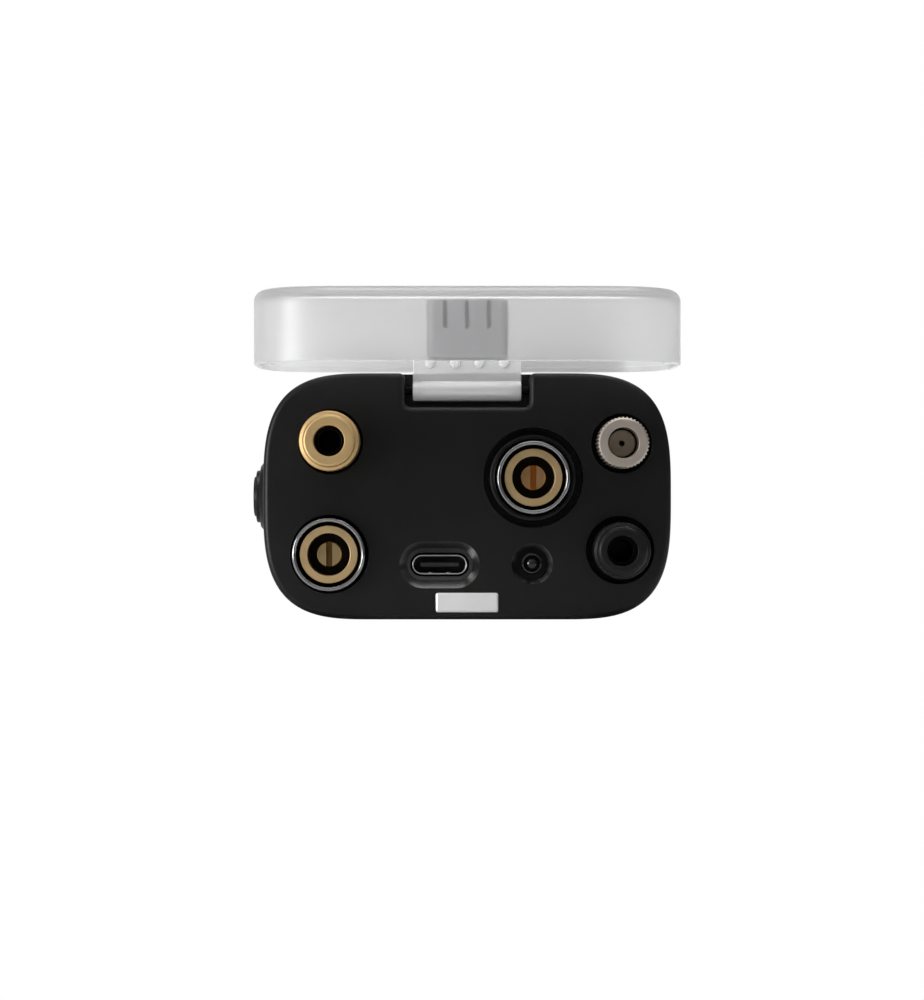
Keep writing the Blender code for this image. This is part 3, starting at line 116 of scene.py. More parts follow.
def notch_outline(inset):
    """The hinge notch in the top edge, from right to left, its corners rounded."""
    outer = notch_outer_corner
    inner = notch_inner_corner
    floor = half_height - notch_drop
    points = arc((notch_half + outer, half_height - outer), outer - inset, 90, 180, 8)
    points += arc((notch_half - inner, floor + inner), inner + inset, 0, -90, 8)
    points += arc((-notch_half + inner, floor + inner), inner + inset, -90, -180, 8)
    points += arc((-notch_half - outer, half_height - outer), outer - inset, 0, 90, 8)
    return points


def edge_levels(start, inset, radius, steps):
    """Depths and insets round an edge, from a flat front to a side."""
    tilts = [math.pi / 2 * step / steps for step in range(steps + 1)]
    return [(start + radius * (1 - math.cos(tilt)), inset + radius * (1 - math.sin(tilt))) for tilt in tilts]


def ring(shape, y, outline, centre=(0.0, 0.0)):
    """One closed ring of edges across the pack, at a depth y."""
    verts = [shape.verts.new((centre[0] + x, y, middle + centre[1] + z)) for x, z in outline]
    return [shape.edges.new(pair) for pair in zip(verts, verts[1:] + verts[:1])]


def lofted(levels, centre=(0.0, 0.0)):
    """A closed shape through outlines at depths, given as (y, outline), with a face over each end."""
    shape = bmesh.new()
    rings = [ring(shape, y, outline, centre) for y, outline in levels]
    for first, second in zip(rings, rings[1:]):
        bmesh.ops.bridge_loops(shape, edges=first + second)
    bmesh.ops.edgenet_fill(shape, edges=rings[0])
    bmesh.ops.edgenet_fill(shape, edges=rings[-1])
    bmesh.ops.recalc_face_normals(shape, faces=shape.faces)
    return shape


OUT_OF_FACE = Matrix.Rotation(math.radians(90), 4, "X")     # a turned piece's top looks along -Y
OUT_OF_SIDE = Matrix.Rotation(math.radians(-90), 4, "Y")    # along -X
OUT_OF_REAR = Matrix.Rotation(math.radians(-90), 4, "X")    # along +Y
ALONG_WIDTH = Matrix.Rotation(math.radians(90), 4, "Y")     # along +X


def turned(profile, place, turn=OUT_OF_FACE, steps=96, closed=False):
    """A turned shape: (radius, height) points spun once about the axis through its place."""
    shape = bmesh.new()
    verts = [shape.verts.new((radius, 0.0, height)) for radius, height in profile]
    edges = [shape.edges.new(pair) for pair in zip(verts, verts[1:])]
    if closed:
        edges.append(shape.edges.new((verts[-1], verts[0])))
    bmesh.ops.spin(shape, geom=verts + edges, cent=(0, 0, 0), axis=(0, 0, 1), angle=math.tau, steps=steps,
                   use_merge=True)
    bmesh.ops.remove_doubles(shape, verts=shape.verts, dist=0.001 * MM)
    bmesh.ops.recalc_face_normals(shape, faces=shape.faces)
    bmesh.ops.transform(shape, matrix=Matrix.Translation(place) @ turn, verts=shape.verts)
    return shape


def box_shape(low, high, rounding=0.0, segments=3):
    """A box between two corners, with all its edges rounded."""
    shape = bmesh.new()
    bmesh.ops.create_cube(shape, size=1.0)
    low = Vector(low)
    high = Vector(high)
    bmesh.ops.scale(shape, vec=high - low, verts=shape.verts)
    bmesh.ops.translate(shape, vec=(low + high) / 2, verts=shape.verts)
    if rounding:
        bmesh.ops.bevel(shape, geom=shape.edges, offset=rounding, segments=segments, profile=0.5,
                        affect="EDGES", material=-1)
    return shape


def loose(shape, name):
    """A bmesh as an object in the scene."""
    mesh = bpy.data.meshes.new(name)
    shape.to_mesh(mesh)
    shape.free()
    piece = bpy.data.objects.new(name, mesh)
    bpy.context.scene.collection.objects.link(piece)
    return piece


def carve(shape, tools, operation="DIFFERENCE"):
    """Cut the tools out of a shape, or add them to it, one after another."""
    body = loose(shape, "carved")
    helpers = [loose(tool, "tool") for tool in tools]
    for helper in helpers:
        step = body.modifiers.new("step", "BOOLEAN")
        step.operation = operation
        step.solver = "EXACT"
        step.object = helper
    bpy.context.view_layer.update()
    result = bmesh.new()
    evaluated = body.evaluated_get(bpy.context.evaluated_depsgraph_get())
    result.from_mesh(evaluated.to_mesh())
    evaluated.to_mesh_clear()
    for old in [body] + helpers:
        bpy.data.objects.remove(old, do_unlink=True)
    bmesh.ops.remove_doubles(result, verts=result.verts, dist=0.0005 * MM)
    return result


def fit_piece(name, shape, material, node, body="housing", sharp=35):
    """Put a finished mesh on its body, in place of its node. Flat faces square to an axis stay flat."""
    piece = loose(shape, name)
    piece.data.shade_smooth()
    piece.data.set_sharp_from_angle(angle=math.radians(sharp))
    for face in piece.data.polygons:
        if max(abs(part) for part in face.normal) > 0.9999999:
            face.use_smooth = False
    piece.data.materials.append(material)
    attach(piece, body)
    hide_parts(node)
    return piece


def centre_of(node):
    """The middle of a node, on the connector face."""
    low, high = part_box(node)
    return Vector(((low.x + high.x) / 2, face_y, (low.z + high.z) / 2))


def reach_of(node):
    """A round node's radius, and the heights of its front and its tail over the connector face."""
    low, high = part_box(node)
    return (high.x - low.x) / 2, face_y - low.y, face_y - high.y


def hole_tool(place, radius, rim, depth, turn=OUT_OF_FACE, steps=96):
    """A cutter for a round hole with a small rounding where it meets the surface."""
    profile = [(0.0, overrun), (radius + rim, overrun)]
    profile += arc((radius + rim, -0.9 * rim), rim, 90, 180, 5)
    profile += [(radius, -depth), (0.0, -depth)]
    return turned(profile, place, turn, steps)


def stadium(width, height, steps=16):
    """A slot outline with round ends."""
    radius = height / 2
    run = width / 2 - radius
    return arc((run, 0.0), radius, -90, 90, steps) + arc((-run, 0.0), radius, 90, 270, steps)


def rounded_rectangle(width, height, radius, steps=4):
    """A rectangle outline with round corners."""
    points = []
    for number, (side, level) in enumerate(((1, 1), (-1, 1), (-1, -1), (1, -1))):
        centre = (side * (width / 2 - radius), level * (height / 2 - radius))
        points += arc(centre, radius, 90 * number, 90 * number + 90, steps)
    return points


def feed(tree, socket, value):
    """Link an input to a socket, or give it a value."""
    if isinstance(value, bpy.types.NodeSocket):
        tree.links.new(value, socket)
    else:
        socket.default_value = value


def wire(tree, node, **inputs):
    """Feed a node's inputs by name, with _ for a space."""
    for label, value in inputs.items():
        feed(tree, node.inputs[label.replace("_", " ")], value)
    return node


def add(tree, kind, options=None, **inputs):
    """A new shader node with its options and its inputs."""
    node = tree.nodes.new("ShaderNode" + kind)
    for label, value in (options or {}).items():
        setattr(node, label, value)
    return wire(tree, node, **inputs)


def maths(tree, operation, *values):
    """The result of a math node whose inputs are sockets or numbers."""
    node = add(tree, "Math", {"operation": operation})
    for socket, value in zip(node.inputs, values):
        feed(tree, socket, value)
    return node.outputs[0]


def noise(tree, vector, scale, detail, stretch=None):
    """The value, from 0 to 1, of a noise texture read at a vector, with an optional stretch."""
    if stretch:
        vector = add(tree, "Mapping", Vector=vector, Scale=stretch).outputs["Vector"]
    return add(tree, "TexNoise", Vector=vector, Scale=scale, Detail=detail).outputs["Fac"]


def new_group(name, inputs, results):
    """An empty shader group with named sockets, and its two ends."""
    group = bpy.data.node_groups.new(name, "ShaderNodeTree")
    for label, kind in inputs.items():
        group.interface.new_socket(label, in_out="INPUT", socket_type="NodeSocket" + kind)
    for label, kind in results.items():
        group.interface.new_socket(label, in_out="OUTPUT", socket_type="NodeSocket" + kind)
    return group, group.nodes.new("NodeGroupInput").outputs, group.nodes.new("NodeGroupOutput")


FINISH_INPUTS = {"Vector": "Vector", "Colour": "Color", "Shade": "Float", "Roughness": "Float",
                 "Spread": "Float", "Scale": "Float"}
FINISH_RESULTS = {"Colour": "Color", "Roughness": "Float", "Height": "Float"}


def close_group(group, given, end, tone, uneven, height):
    """Give a finish its results: darker where a tone is low, and rougher where a value is high."""
    colour = add(group, "Mix", {"data_type": "RGBA", "blend_type": "MULTIPLY"}, Factor=given["Shade"],
                 A=given["Colour"], B=tone).outputs["Result"]
    roughness = maths(group, "MULTIPLY_ADD", uneven, given["Spread"], given["Roughness"])
    wire(group, end, Colour=colour, Roughness=roughness, Height=height)
    return group


def moulded_grain():
    """Group: the fine grain of a moulded plastic, and the broad, faint unevenness of its gloss."""
    group, given, end = new_group("moulded_grain", FINISH_INPUTS, FINISH_RESULTS)
    fine = noise(group, given["Vector"], given["Scale"], 3.0)
    broad = noise(group, given["Vector"], 75.0, 3.0)
    return close_group(group, given, end, broad, maths(group, "SUBTRACT", broad, 0.5), fine)


def painted_depth_shade():
    """Group: painted shade, another colour past a limit along Y, standing in for the shade at the bottom of a
    slot or recess.
    """
    group, given, end = new_group("painted_depth_shade", {"Vector": "Vector", "Colour": "Color", "Limit": "Float",
                                                 "Tint": "Color"}, {"Colour": "Color"})
    depth = add(group, "SeparateXYZ", Vector=given["Vector"]).outputs["Y"]
    past = maths(group, "MULTIPLY", maths(group, "SUBTRACT", depth, given["Limit"]), 12000.0)
    share = maths(group, "MAXIMUM", maths(group, "SMOOTH_MIN", past, 1.0, 0.1), 0.0)
    mix = add(group, "Mix", {"data_type": "RGBA"}, Factor=share, A=given["Colour"], B=given["Tint"])
    wire(group, end, Colour=mix.outputs["Result"])
    return group


# Painted shade: this group paints the deep parts of a piece in a darker colour, standing in for the shade in
# slots, grooves and recesses.
depth_painted_shade = painted_depth_shade()


def surface(name, group, colour, roughness, metallic=0.0, shade=0.25, spread=0.12, scale=5000.0, bump=0.01,
            centre=(0.0, 0.0, 0.0), turn=(0.0, 0.0, 0.0), tint=None, **fixed):
    """A material with one finish. Bump is in millimetres; painted shade, if given, is a depth limit and the
    shade colour painted past it; fixed values go on the shader."""
    material = bpy.data.materials.new(name)
    material.use_nodes = True
    tree = material.node_tree
    spot = add(tree, "Mapping", {"vector_type": "TEXTURE"}, Vector=add(tree, "TexCoord").outputs["Object"],
               Location=centre, Rotation=turn).outputs["Vector"]
    finish = add(tree, "Group", {"node_tree": group}, Vector=spot, Colour=(*colour, 1.0), Shade=shade,
                 Roughness=roughness, Spread=spread, Scale=scale).outputs
    seen = finish["Colour"]
    if tint:
        limit, shade_colour = tint
        seen = add(tree, "Group", {"node_tree": depth_painted_shade}, Vector=spot, Colour=seen, Limit=limit,
                   Tint=(*shade_colour, 1.0)).outputs["Colour"]
    relief = add(tree, "Bump", Strength=1.0, Distance=bump * MM, Height=finish["Height"]).outputs["Normal"]
    wire(tree, tree.nodes["Principled BSDF"], Base_Color=seen, Roughness=finish["Roughness"], Normal=relief,
         Metallic=metallic, **fixed)
    return material


plastic_grain = moulded_grain()


def plastic(name, colour, roughness, **finish):
    """A moulded plastic or rubber."""
    return surface(name, plastic_grain, colour, roughness, **finish)


satin_black = plastic("satin_black_plastic", (0.0027, 0.0027, 0.0028), 0.36, Specular_IOR_Level=0.32)

shell = bmesh.new()
rings = [ring(shell, y, body_outline(inset, notch_outline(inset)))
         for y, inset in edge_levels(face_y, 0.0, edge_radius, edge_steps)]
notch_end = ring(shell, face_y + notch_depth, body_outline(0.0, notch_outline(0.0)))
rings.append(notch_end)
for first, second in zip(rings, rings[1:]):
    bmesh.ops.bridge_loops(shell, edges=first + second)
bmesh.ops.edgenet_fill(shell, edges=rings[0])
notch_start = corner_steps + 1
notch_stop = notch_start + len(notch_outline(0.0)) - 1
back_wall = notch_end[notch_start:notch_stop]
right_top = [vert for vert in back_wall[0].verts if vert not in back_wall[1].verts][0]
left_top = [vert for vert in back_wall[-1].verts if vert not in back_wall[-2].verts][0]
top_edge = shell.edges.new((right_top, left_top))
bmesh.ops.edgenet_fill(shell, edges=back_wall + [top_edge])
full_ring = notch_end[:notch_start] + [top_edge] + notch_end[notch_stop:]
run = bmesh.ops.extrude_edge_only(shell, edges=full_ring)["geom"]
bmesh.ops.translate(shell, vec=(0.0, housing_end - face_y - notch_depth, 0.0),
                    verts=[part for part in run if isinstance(part, bmesh.types.BMVert)])
bmesh.ops.edgenet_fill(shell, edges=[part for part in run if isinstance(part, bmesh.types.BMEdge)
                                     and all(vert.co.y > housing_end - overrun for vert in part.verts)])
bmesh.ops.recalc_face_normals(shell, faces=shell.faces)

cavity = lofted([(face_y + face_wall, body_outline(wall)), (housing_end + overrun, body_outline(wall))])
hinge_half = notch_half + hinge_cheek
hinge_bottom = 2 * half_height - notch_drop - hinge_floor
cavity = carve(cavity, [box_shape((-hinge_half, face_y, hinge_bottom),
                                  (hinge_half, face_y + notch_depth + hinge_back, 2 * half_height))])

brass_place = centre_of("brass_jack_collar")
black_place = centre_of("black_jack_collar")
left_place = centre_of("left_coax_shell")
middle_place = centre_of("middle_coax_shell")
coupling_place = centre_of("coupling_ring")
usb_place = centre_of("usb_c_shell")
light_place = centre_of("status_lens")
strike_place = centre_of("strike_plate")
through = face_wall + overrun
hole_rim = 0.16 * MM
light_radius = 2.63 * MM
light_chamfer = 0.7 * MM
pocket_width = 10.7 * MM
pocket_height = 5.3 * MM
pocket_depth = 2.2 * MM
pocket_chamfer = 1.1 * MM

socket_holes = ((brass_place, 5.2 * MM, 96), (left_place, 6.25 * MM, 96), (middle_place, 7.97 * MM, 128),
                (coupling_place, 4.8 * MM, 96), (black_place, 5.4 * MM, 96))
holes = [hole_tool(place, radius, hole_rim, through, steps=steps) for place, radius, steps in socket_holes]
light_mouth = light_radius + light_chamfer
holes.append(turned([(0.0, overrun), (light_mouth + overrun, overrun), (light_radius, -light_chamfer),
                     (light_radius, -through), (0.0, -through)], light_place, steps=72))
usb_low, usb_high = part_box("usb_c_shell")
usb_width = usb_high.x - usb_low.x
usb_height = usb_high.z - usb_low.z
usb_centre = (usb_place.x, usb_place.z - middle)
flare = 2 * (pocket_chamfer + overrun)
slack = 2 * clearance
pocket_outline = stadium(pocket_width, pocket_height)
usb_slot = stadium(usb_width + slack, usb_height + slack)
holes.append(lofted([(face_y - overrun, stadium(pocket_width + flare, pocket_height + flare)),
                     (face_y + pocket_chamfer, pocket_outline),
                     (face_y + pocket_depth, pocket_outline)], usb_centre))
holes.append(lofted([(face_y, usb_slot), (face_y + through, usb_slot)], usb_centre))

strike_low, strike_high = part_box("strike_plate")
strike_width = strike_high.x - strike_low.x
strike_height = strike_high.z - strike_low.z
strike_centre = (0.0, strike_place.z - middle)
strike_outline = rounded_rectangle(strike_width + clearance, strike_height + clearance, 0.4 * MM)
holes.append(lofted([(face_y - overrun, strike_outline), (strike_high.y + clearance, strike_outline)],
                    strike_centre))

pin_low, pin_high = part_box("hinge_pin")
hinge = Vector((0.0, (pin_low.y + pin_high.y) / 2, (pin_low.z + pin_high.z) / 2))
pin_radius = (pin_high.z - pin_low.z) / 2
pin_reach = pin_high.x
pin_hole = pin_radius + 0.15 * MM
pin_run = pin_reach + clearance
holes.append(turned([(0.0, pin_run), (pin_hole, pin_run), (pin_hole, -pin_run), (0.0, -pin_run)],
                    hinge, ALONG_WIDTH, 32))

bezel_low, bezel_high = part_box("button_bezel")
button_place = Vector((-half_width, (bezel_low.y + bezel_high.y) / 2, (bezel_low.z + bezel_high.z) / 2))
holes.append(hole_tool(button_place, 5.45 * MM, 0.05 * MM, wall + overrun, OUT_OF_SIDE))

shell = carve(shell, [cavity] + holes)
polished_black = plastic("polished_black_plastic", (0.001, 0.001, 0.001), 0.19, spread=0.08, scale=1500.0,
                         bump=0.002, IOR=1.7, Specular_IOR_Level=0.90)
shut_off = 0.02 * MM            # where the grain of the face stops at a polished recess
for face in shell.faces:
    spot = face.calc_center_median()
    if face_y + shut_off < spot.y < face_y + face_wall:
        in_slot = abs(spot.x - usb_place.x) < pocket_width / 2 + pocket_chamfer and \
            abs(spot.z - usb_place.z) < pocket_height / 2 + pocket_chamfer
        in_light = math.hypot(spot.x - light_place.x, spot.z - light_place.z) < light_mouth
        face.material_index = 1 if in_slot or in_light else 0
housing_piece = fit_piece("housing_moulding", shell, satin_black, "main_housing")
housing_piece.data.materials.append(polished_black)


# ---------------------------------------------------------------- rear cover, seal and screws
# The flat end cover, moulded in the same nylon, pulls a thin rubber ring against the housing's rim.
# Four small socket-head screws sit in counterbores in its corners.

cover_low, cover_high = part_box("rear_cover")
seal_low, seal_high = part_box("rear_seal")
cover_y = seal_high.y + 0.1 * MM
rear_y = cover_high.y
lip_wall = 1.5 * MM
cover_edge = 0.9 * MM
counterbore = 2.4 * MM
counterbore_depth = 1.9 * MM

rounded_end = [(rear_y - depth, body_outline(inset))
               for depth, inset in reversed(edge_levels(0.0, 0.0, cover_edge, edge_steps))]
cover = lofted([(cover_y, body_outline(0.0))] + rounded_end)
lip_outer = body_outline(wall + clearance)
lip_inner = body_outline(wall + clearance + lip_wall)
lip = carve(lofted([(cover_low.y, lip_outer), (cover_y + overrun, lip_outer)]),
            [lofted([(cover_low.y - overrun, lip_inner), (cover_y - clearance, lip_inner)])])
cover = carve(cover, [lip], "UNION")
screw_places = {}
for number in (1, 2, 3, 4):
    low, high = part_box(f"cover_screw_{number}")
    screw_places[f"cover_screw_{number}"] = Vector(((low.x + high.x) / 2, high.y, (low.z + high.z) / 2))
cover = carve(cover, [hole_tool(Vector((place.x, rear_y, place.z)), counterbore, hole_rim, counterbore_depth,
                                OUT_OF_REAR, 64) for place in screw_places.values()])
fit_piece("rear_cover_moulding", cover, satin_black, "rear_cover")

seal_bulge = 0.18 * MM
seal_inset = 0.5 * MM
seal_middle = (seal_low.y + seal_high.y) / 2
seal_half = (seal_high.y - seal_low.y) / 2
seal = lofted([(seal_middle + seal_half * along, body_outline(seal_inset + seal_bulge * (1 - across)))
               for across, along in arc((0.0, 0.0), 1.0, -90, 90, 8)])
seal = carve(seal, [lofted([(seal_low.y - overrun, body_outline(wall)),
                            (seal_high.y + overrun, body_outline(wall))])])
rubber = plastic("seal_rubber", (0.012, 0.012, 0.012), 0.75, scale=2500.0, bump=0.02, Specular_IOR_Level=0.25)
fit_piece("rear_seal_ring", seal, rubber, "rear_seal")


def turning_marks():
    """Group: the fine rings that a lathe leaves round an axis along Y, with faint smudges over them."""
    group, given, end = new_group("turning_marks", FINISH_INPUTS, FINISH_RESULTS)
    parts = add(group, "SeparateXYZ", Vector=given["Vector"]).outputs
    radius = maths(group, "SQRT", maths(group, "ADD", maths(group, "POWER", parts["X"], 2.0),
                                        maths(group, "POWER", parts["Z"], 2.0)))
    along = maths(group, "ADD", radius, maths(group, "MULTIPLY", parts["Y"], 0.7))
    lines = add(group, "TexNoise", {"noise_dimensions": "1D"}, W=along, Scale=given["Scale"],
                Detail=3.0).outputs["Fac"]
    smudge = noise(group, given["Vector"], 420.0, 4.0)
    both = maths(group, "SUBTRACT", maths(group, "ADD", smudge, lines), 1.0)
    return close_group(group, given, end, smudge, both, lines)


lathe_marks = turning_marks()


def turned_metal(name, colour, roughness, place, **finish):
    """A lathe-turned metal whose marks run round the axis through a place."""
    values = {"scale": 9000.0, "bump": 0.004, **finish}
    return surface(name, lathe_marks, colour, roughness, 1.0, centre=tuple(place), **values)


screw_head = 1.3 * MM
screw_radius = 1.2 * MM
screw_pitch = 0.45 * MM
screw_thread = 0.14 * MM
hex_radius = 1.1 * MM
hex_depth = 0.8 * MM


def socket_screw(place, head_radius, length):
    """A screw with a domed, edge-rounded head, a six-sided recess and a shank with thread grooves."""
    edge = 0.25 * screw_head
    profile = [(0.0, 0.0), (0.6 * head_radius, -0.05 * screw_head)]
    profile += arc((head_radius - edge, -0.1 * screw_head - edge), edge, 75, 0, 4)
    profile += [(head_radius, -screw_head), (screw_radius, -screw_head)]
    height = -screw_head - screw_pitch
    while height > -length + screw_pitch:
        profile += [(screw_radius, height), (screw_radius - screw_thread, height - screw_pitch / 2)]
        height -= screw_pitch
    profile += [(screw_radius - screw_thread, -length), (0.0, -length)]
    recess = turned([(0.0, overrun), (hex_radius, overrun), (hex_radius, -hex_depth),
                     (0.0, -hex_depth - 0.4 * hex_radius)], place, OUT_OF_REAR, 6)
    return carve(turned(profile, place, OUT_OF_REAR, 40), [recess])


for node, place in screw_places.items():
    low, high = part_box(node)
    blackened = turned_metal(node + "_steel", (0.10, 0.10, 0.105), 0.34, place)
    screw = socket_screw(place, (high.x - low.x) / 2, high.y - low.y)
    fit_piece(node + "_turned", screw, blackened, node)


# ---------------------------------------------------------------- microphone jack, brass collar
# A 3.5 mm locking jack: a turned brass collar with a rounded crest over a black moulded barrel.
# The collar passes through the face and a slotted ring nut holds it from behind.

jack_mouth = 2.45 * MM
jack_lip = 3.0 * MM
jack_bore = 1.8 * MM
collar_bore = 3.7 * MM


def jack_collar(node, place, crest, nose, material):
    """The collar: a flat ring round the mouth, its edge rounded, above a lower shoulder, and a plain tail."""
    radius, proud, tail = reach_of(node)
    soft = 0.14 * MM
    step = 0.12 * MM
    edge = 0.30 * MM
    shoulder = proud - 1.15 * crest
    profile = arc((jack_mouth + soft, proud - soft), soft, 180, 90, 4)
    profile += arc((nose - crest, proud - crest), crest, 90, 12, 12)
    profile += arc((nose + step, shoulder + step), step, 200, 265, 4)
    profile += arc((radius - edge, shoulder - 0.08 * MM - edge), edge, 84, 0, 6)
    profile += [(radius, 0.2 * MM), (radius - clearance, 0.0), (radius - clearance, tail),
                (collar_bore, tail), (collar_bore, proud - jack_lip), (jack_mouth, proud - jack_lip)]
    shape = turned(profile, place, steps=128, closed=True)
    fit_piece(node + "_turned", shape, material, node, sharp=28)


def jack_barrel(node, place, material):
    """The barrel behind the collar's mouth: a fine raised rim, and three ridges where contacts press in."""
    radius, top, tail = reach_of(node)
    rim = 0.12 * MM
    ridge = 0.18 * MM
    half = 0.5 * MM
    floor = top - 13.0 * MM
    profile = [(0.0, floor), (jack_bore, floor)]
    for depth in (9.0 * MM, 5.5 * MM, 2.4 * MM):
        profile += [(jack_bore, top - depth - half), (jack_bore - ridge, top - depth),
                    (jack_bore, top - depth + half)]
    profile += [(jack_bore, top - rim)] + arc((jack_bore + rim, top - rim), rim, 170, 10, 6)
    profile += [(jack_bore + 2.2 * rim, top - rim), (radius - rim, top - rim), (radius, top - 2 * rim),
                (radius, tail), (0.0, tail)]
    fit_piece(node + "_moulded", turned(profile, place), material, node)


gloss_black = plastic("gloss_black_plastic", (0.0025, 0.0025, 0.0025), 0.22, spread=0.10, scale=1500.0,
                      bump=0.002, Specular_IOR_Level=0.14)
brass = turned_metal("turned_brass", (0.62, 0.43, 0.205), 0.47, brass_place, shade=0.12, bump=0.0012)
jack_collar("brass_jack_collar", brass_place, 0.52 * MM, 4.20 * MM, brass)
jack_barrel("brass_jack_barrel", brass_place, gloss_black)


# ---------------------------------------------------------------- headphone jack, black collar
# The same jack with a moulded black collar that stands a little further out of a wider hole.

collar_black = plastic("collar_black_plastic", (0.0070, 0.0070, 0.0072), 0.34, scale=7000.0, bump=0.003,
                       Specular_IOR_Level=0.22)
jack_collar("black_jack_collar", black_place, 0.85 * MM, 4.00 * MM, collar_black)
jack_barrel("black_jack_barrel", black_place, gloss_black)


# ---------------------------------------------------------------- coaxial sockets
# Two push-on coaxial sockets. Each has a chromed shell with a rounded rim, a gold-plated ring inside it,
# a black insulator, and a slotted centre contact. All are turned and pressed together.

GOLD = (0.64, 0.46, 0.24)
shell_rim_wall = 0.65 * MM
gold_ring_wall = 1.22 * MM
contact_slot = 0.49 * MM        # half its width
contact_slot_depth = 2.8 * MM
contact_tail = 0.7 * MM
insulator_bore = 1.0 * MM
insulator_dish = 0.25 * MM


def tube_end(bore, radius, top, edge, steps):
    """The rounded front end of a tube, from its bore to its outside."""
    inner = arc((bore + edge, top - edge), edge, 180, 90, steps)
    return inner + arc((radius - edge, top - edge), edge, 90, 0, steps)


def coax_socket(tag, place, contact_colour, slot_painted_shade):
    """One socket: shell, ring, insulator and contact."""
    radius, proud, tail = reach_of(tag + "_shell")
    bore = radius - shell_rim_wall
    profile = [(bore, tail)] + tube_end(bore, radius, proud, 0.32 * MM, 8)
    profile += [(radius, -0.5 * MM), (radius - 0.15 * MM, -0.6 * MM)]
    thread = -1.0 * MM
    while thread > tail + 1.0 * MM:
        profile += [(radius, thread), (radius - 0.2 * MM, thread - 0.25 * MM)]
        thread -= 0.5 * MM
    profile += [(radius - 0.15 * MM, tail)]
    chrome = turned_metal(tag + "_chrome", (0.32, 0.325, 0.335), 0.10, place, shade=0.1, spread=0.06,
                          bump=0.001)
    fit_piece(tag + "_shell_turned", turned(profile, place, steps=128, closed=True), chrome, tag + "_shell")

    radius, top, bottom = reach_of(tag + "_ring")
    bore = radius - gold_ring_wall
    profile = [(bore, bottom)] + tube_end(bore, radius, top, 0.10 * MM, 4) + [(radius, bottom)]
    gold = turned_metal(tag + "_gold", GOLD, 0.42, place, scale=14000.0)
    fit_piece(tag + "_ring_turned", turned(profile, place, closed=True), gold, tag + "_ring")

    radius, top, tail = reach_of(tag + "_contact")
    bottom = reach_of(tag + "_insulator")[1] + clearance
    edge = 0.14 * MM
    profile = [(0.0, top)] + arc((radius - edge, top - edge), edge, 90, 0, 4)
    profile += [(radius, bottom), (contact_tail, bottom), (contact_tail, tail), (0.0, tail)]
    slot = box_shape((place.x - contact_slot, face_y - top - overrun, place.z - radius - overrun),
                     (place.x + contact_slot, face_y - top + contact_slot_depth, place.z + radius + overrun))
    # Painted shade: past 1 mm behind the contact's front, the slot's bottom is painted in the darker slot
    # colour, standing in for the shade in the slot.
    plated = turned_metal(tag + "_contact_metal", contact_colour, 0.34, place, shade=0.4, scale=7000.0,
                          tint=(1.0 * MM - top, slot_painted_shade))
    fit_piece(tag + "_contact_turned", carve(turned(profile, place, steps=72), [slot]), plated,
              tag + "_contact")

    radius, top, bottom = reach_of(tag + "_insulator")
    profile = [(insulator_bore, bottom), (insulator_bore, top), (radius - 1.2 * MM, top - insulator_dish),
               (radius, top - insulator_dish / 2), (radius, bottom)]
    moulded = plastic(tag + "_insulator_plastic", (0.004, 0.004, 0.004), 0.60, Specular_IOR_Level=0.15)
    fit_piece(tag + "_insulator_moulded", turned(profile, place, steps=72, closed=True), moulded,
              tag + "_insulator")


# The second colour of each is the painted shade of the contact's slot.
coax_socket("left_coax", left_place, (0.50, 0.36, 0.18), (0.20, 0.12, 0.04))
coax_socket("middle_coax", middle_place, (0.64, 0.37, 0.17), (0.62, 0.24, 0.05))


# ---------------------------------------------------------------- bezel in the well
# A black moulded ring stands in the wide well round the middle socket. Its flange behind the face
# keeps it there, and the socket's nut clamps both.

flange_radius, bezel_top, bezel_bottom = reach_of("well_bezel")
bezel_radius = 7.09 * MM
bezel_bore = 6.15 * MM
crown = 0.42 * MM
flange_top = bezel_bottom + 1.2 * MM
profile = [(bezel_bore, bezel_bottom)] + tube_end(bezel_bore, bezel_radius, bezel_top, crown, 7)
profile += [(bezel_radius, flange_top), (flange_radius, flange_top), (flange_radius, bezel_bottom)]
# Painted shade: past 1.6 mm behind the face the ring, its flange deep in the groove, is painted near black,
# standing in for the shade in the narrow groove.
bezel_black = plastic("bezel_black_plastic", (0.0040, 0.0040, 0.0042), 0.40, bump=0.004,
                      tint=(1.6 * MM, (0.0005, 0.0005, 0.0005)), centre=tuple(middle_place),
                      Specular_IOR_Level=0.28)
fit_piece("well_bezel_moulded", turned(profile, middle_place, steps=144, closed=True), bezel_black,
          "well_bezel")


# ---------------------------------------------------------------- antenna coupling
# A knurled coupling ring of matt nickel turns on a fixed barrel. A plastic disc fills its mouth, with
# a pin socket at its centre.

knurl_radius, knurl_top, knurl_bottom = reach_of("coupling_ring")
knurl_teeth = 40
knurl_depth = 0.20 * MM
knurl_bevel = 0.38 * MM
bevel_steps = 6
ring_bore = 2.45 * MM
head_bore = 3.5 * MM
neck_bore = 2.55 * MM
inner_lip = -1.5 * MM
tooth_shape = (0.0, 0.0, 0.35, 1.0, 1.0, 0.35)      # share of the depth round one tooth


def knurl_outline(limit):
    """One toothed outline, no wider than a limit."""
    outline = []
    for step in range(knurl_teeth * len(tooth_shape)):
        angle = math.tau * step / (knurl_teeth * len(tooth_shape))
        radius = min(limit, knurl_radius - knurl_depth * tooth_shape[step % len(tooth_shape)])
        outline.append((radius * math.cos(angle), radius * math.sin(angle)))
    return outline


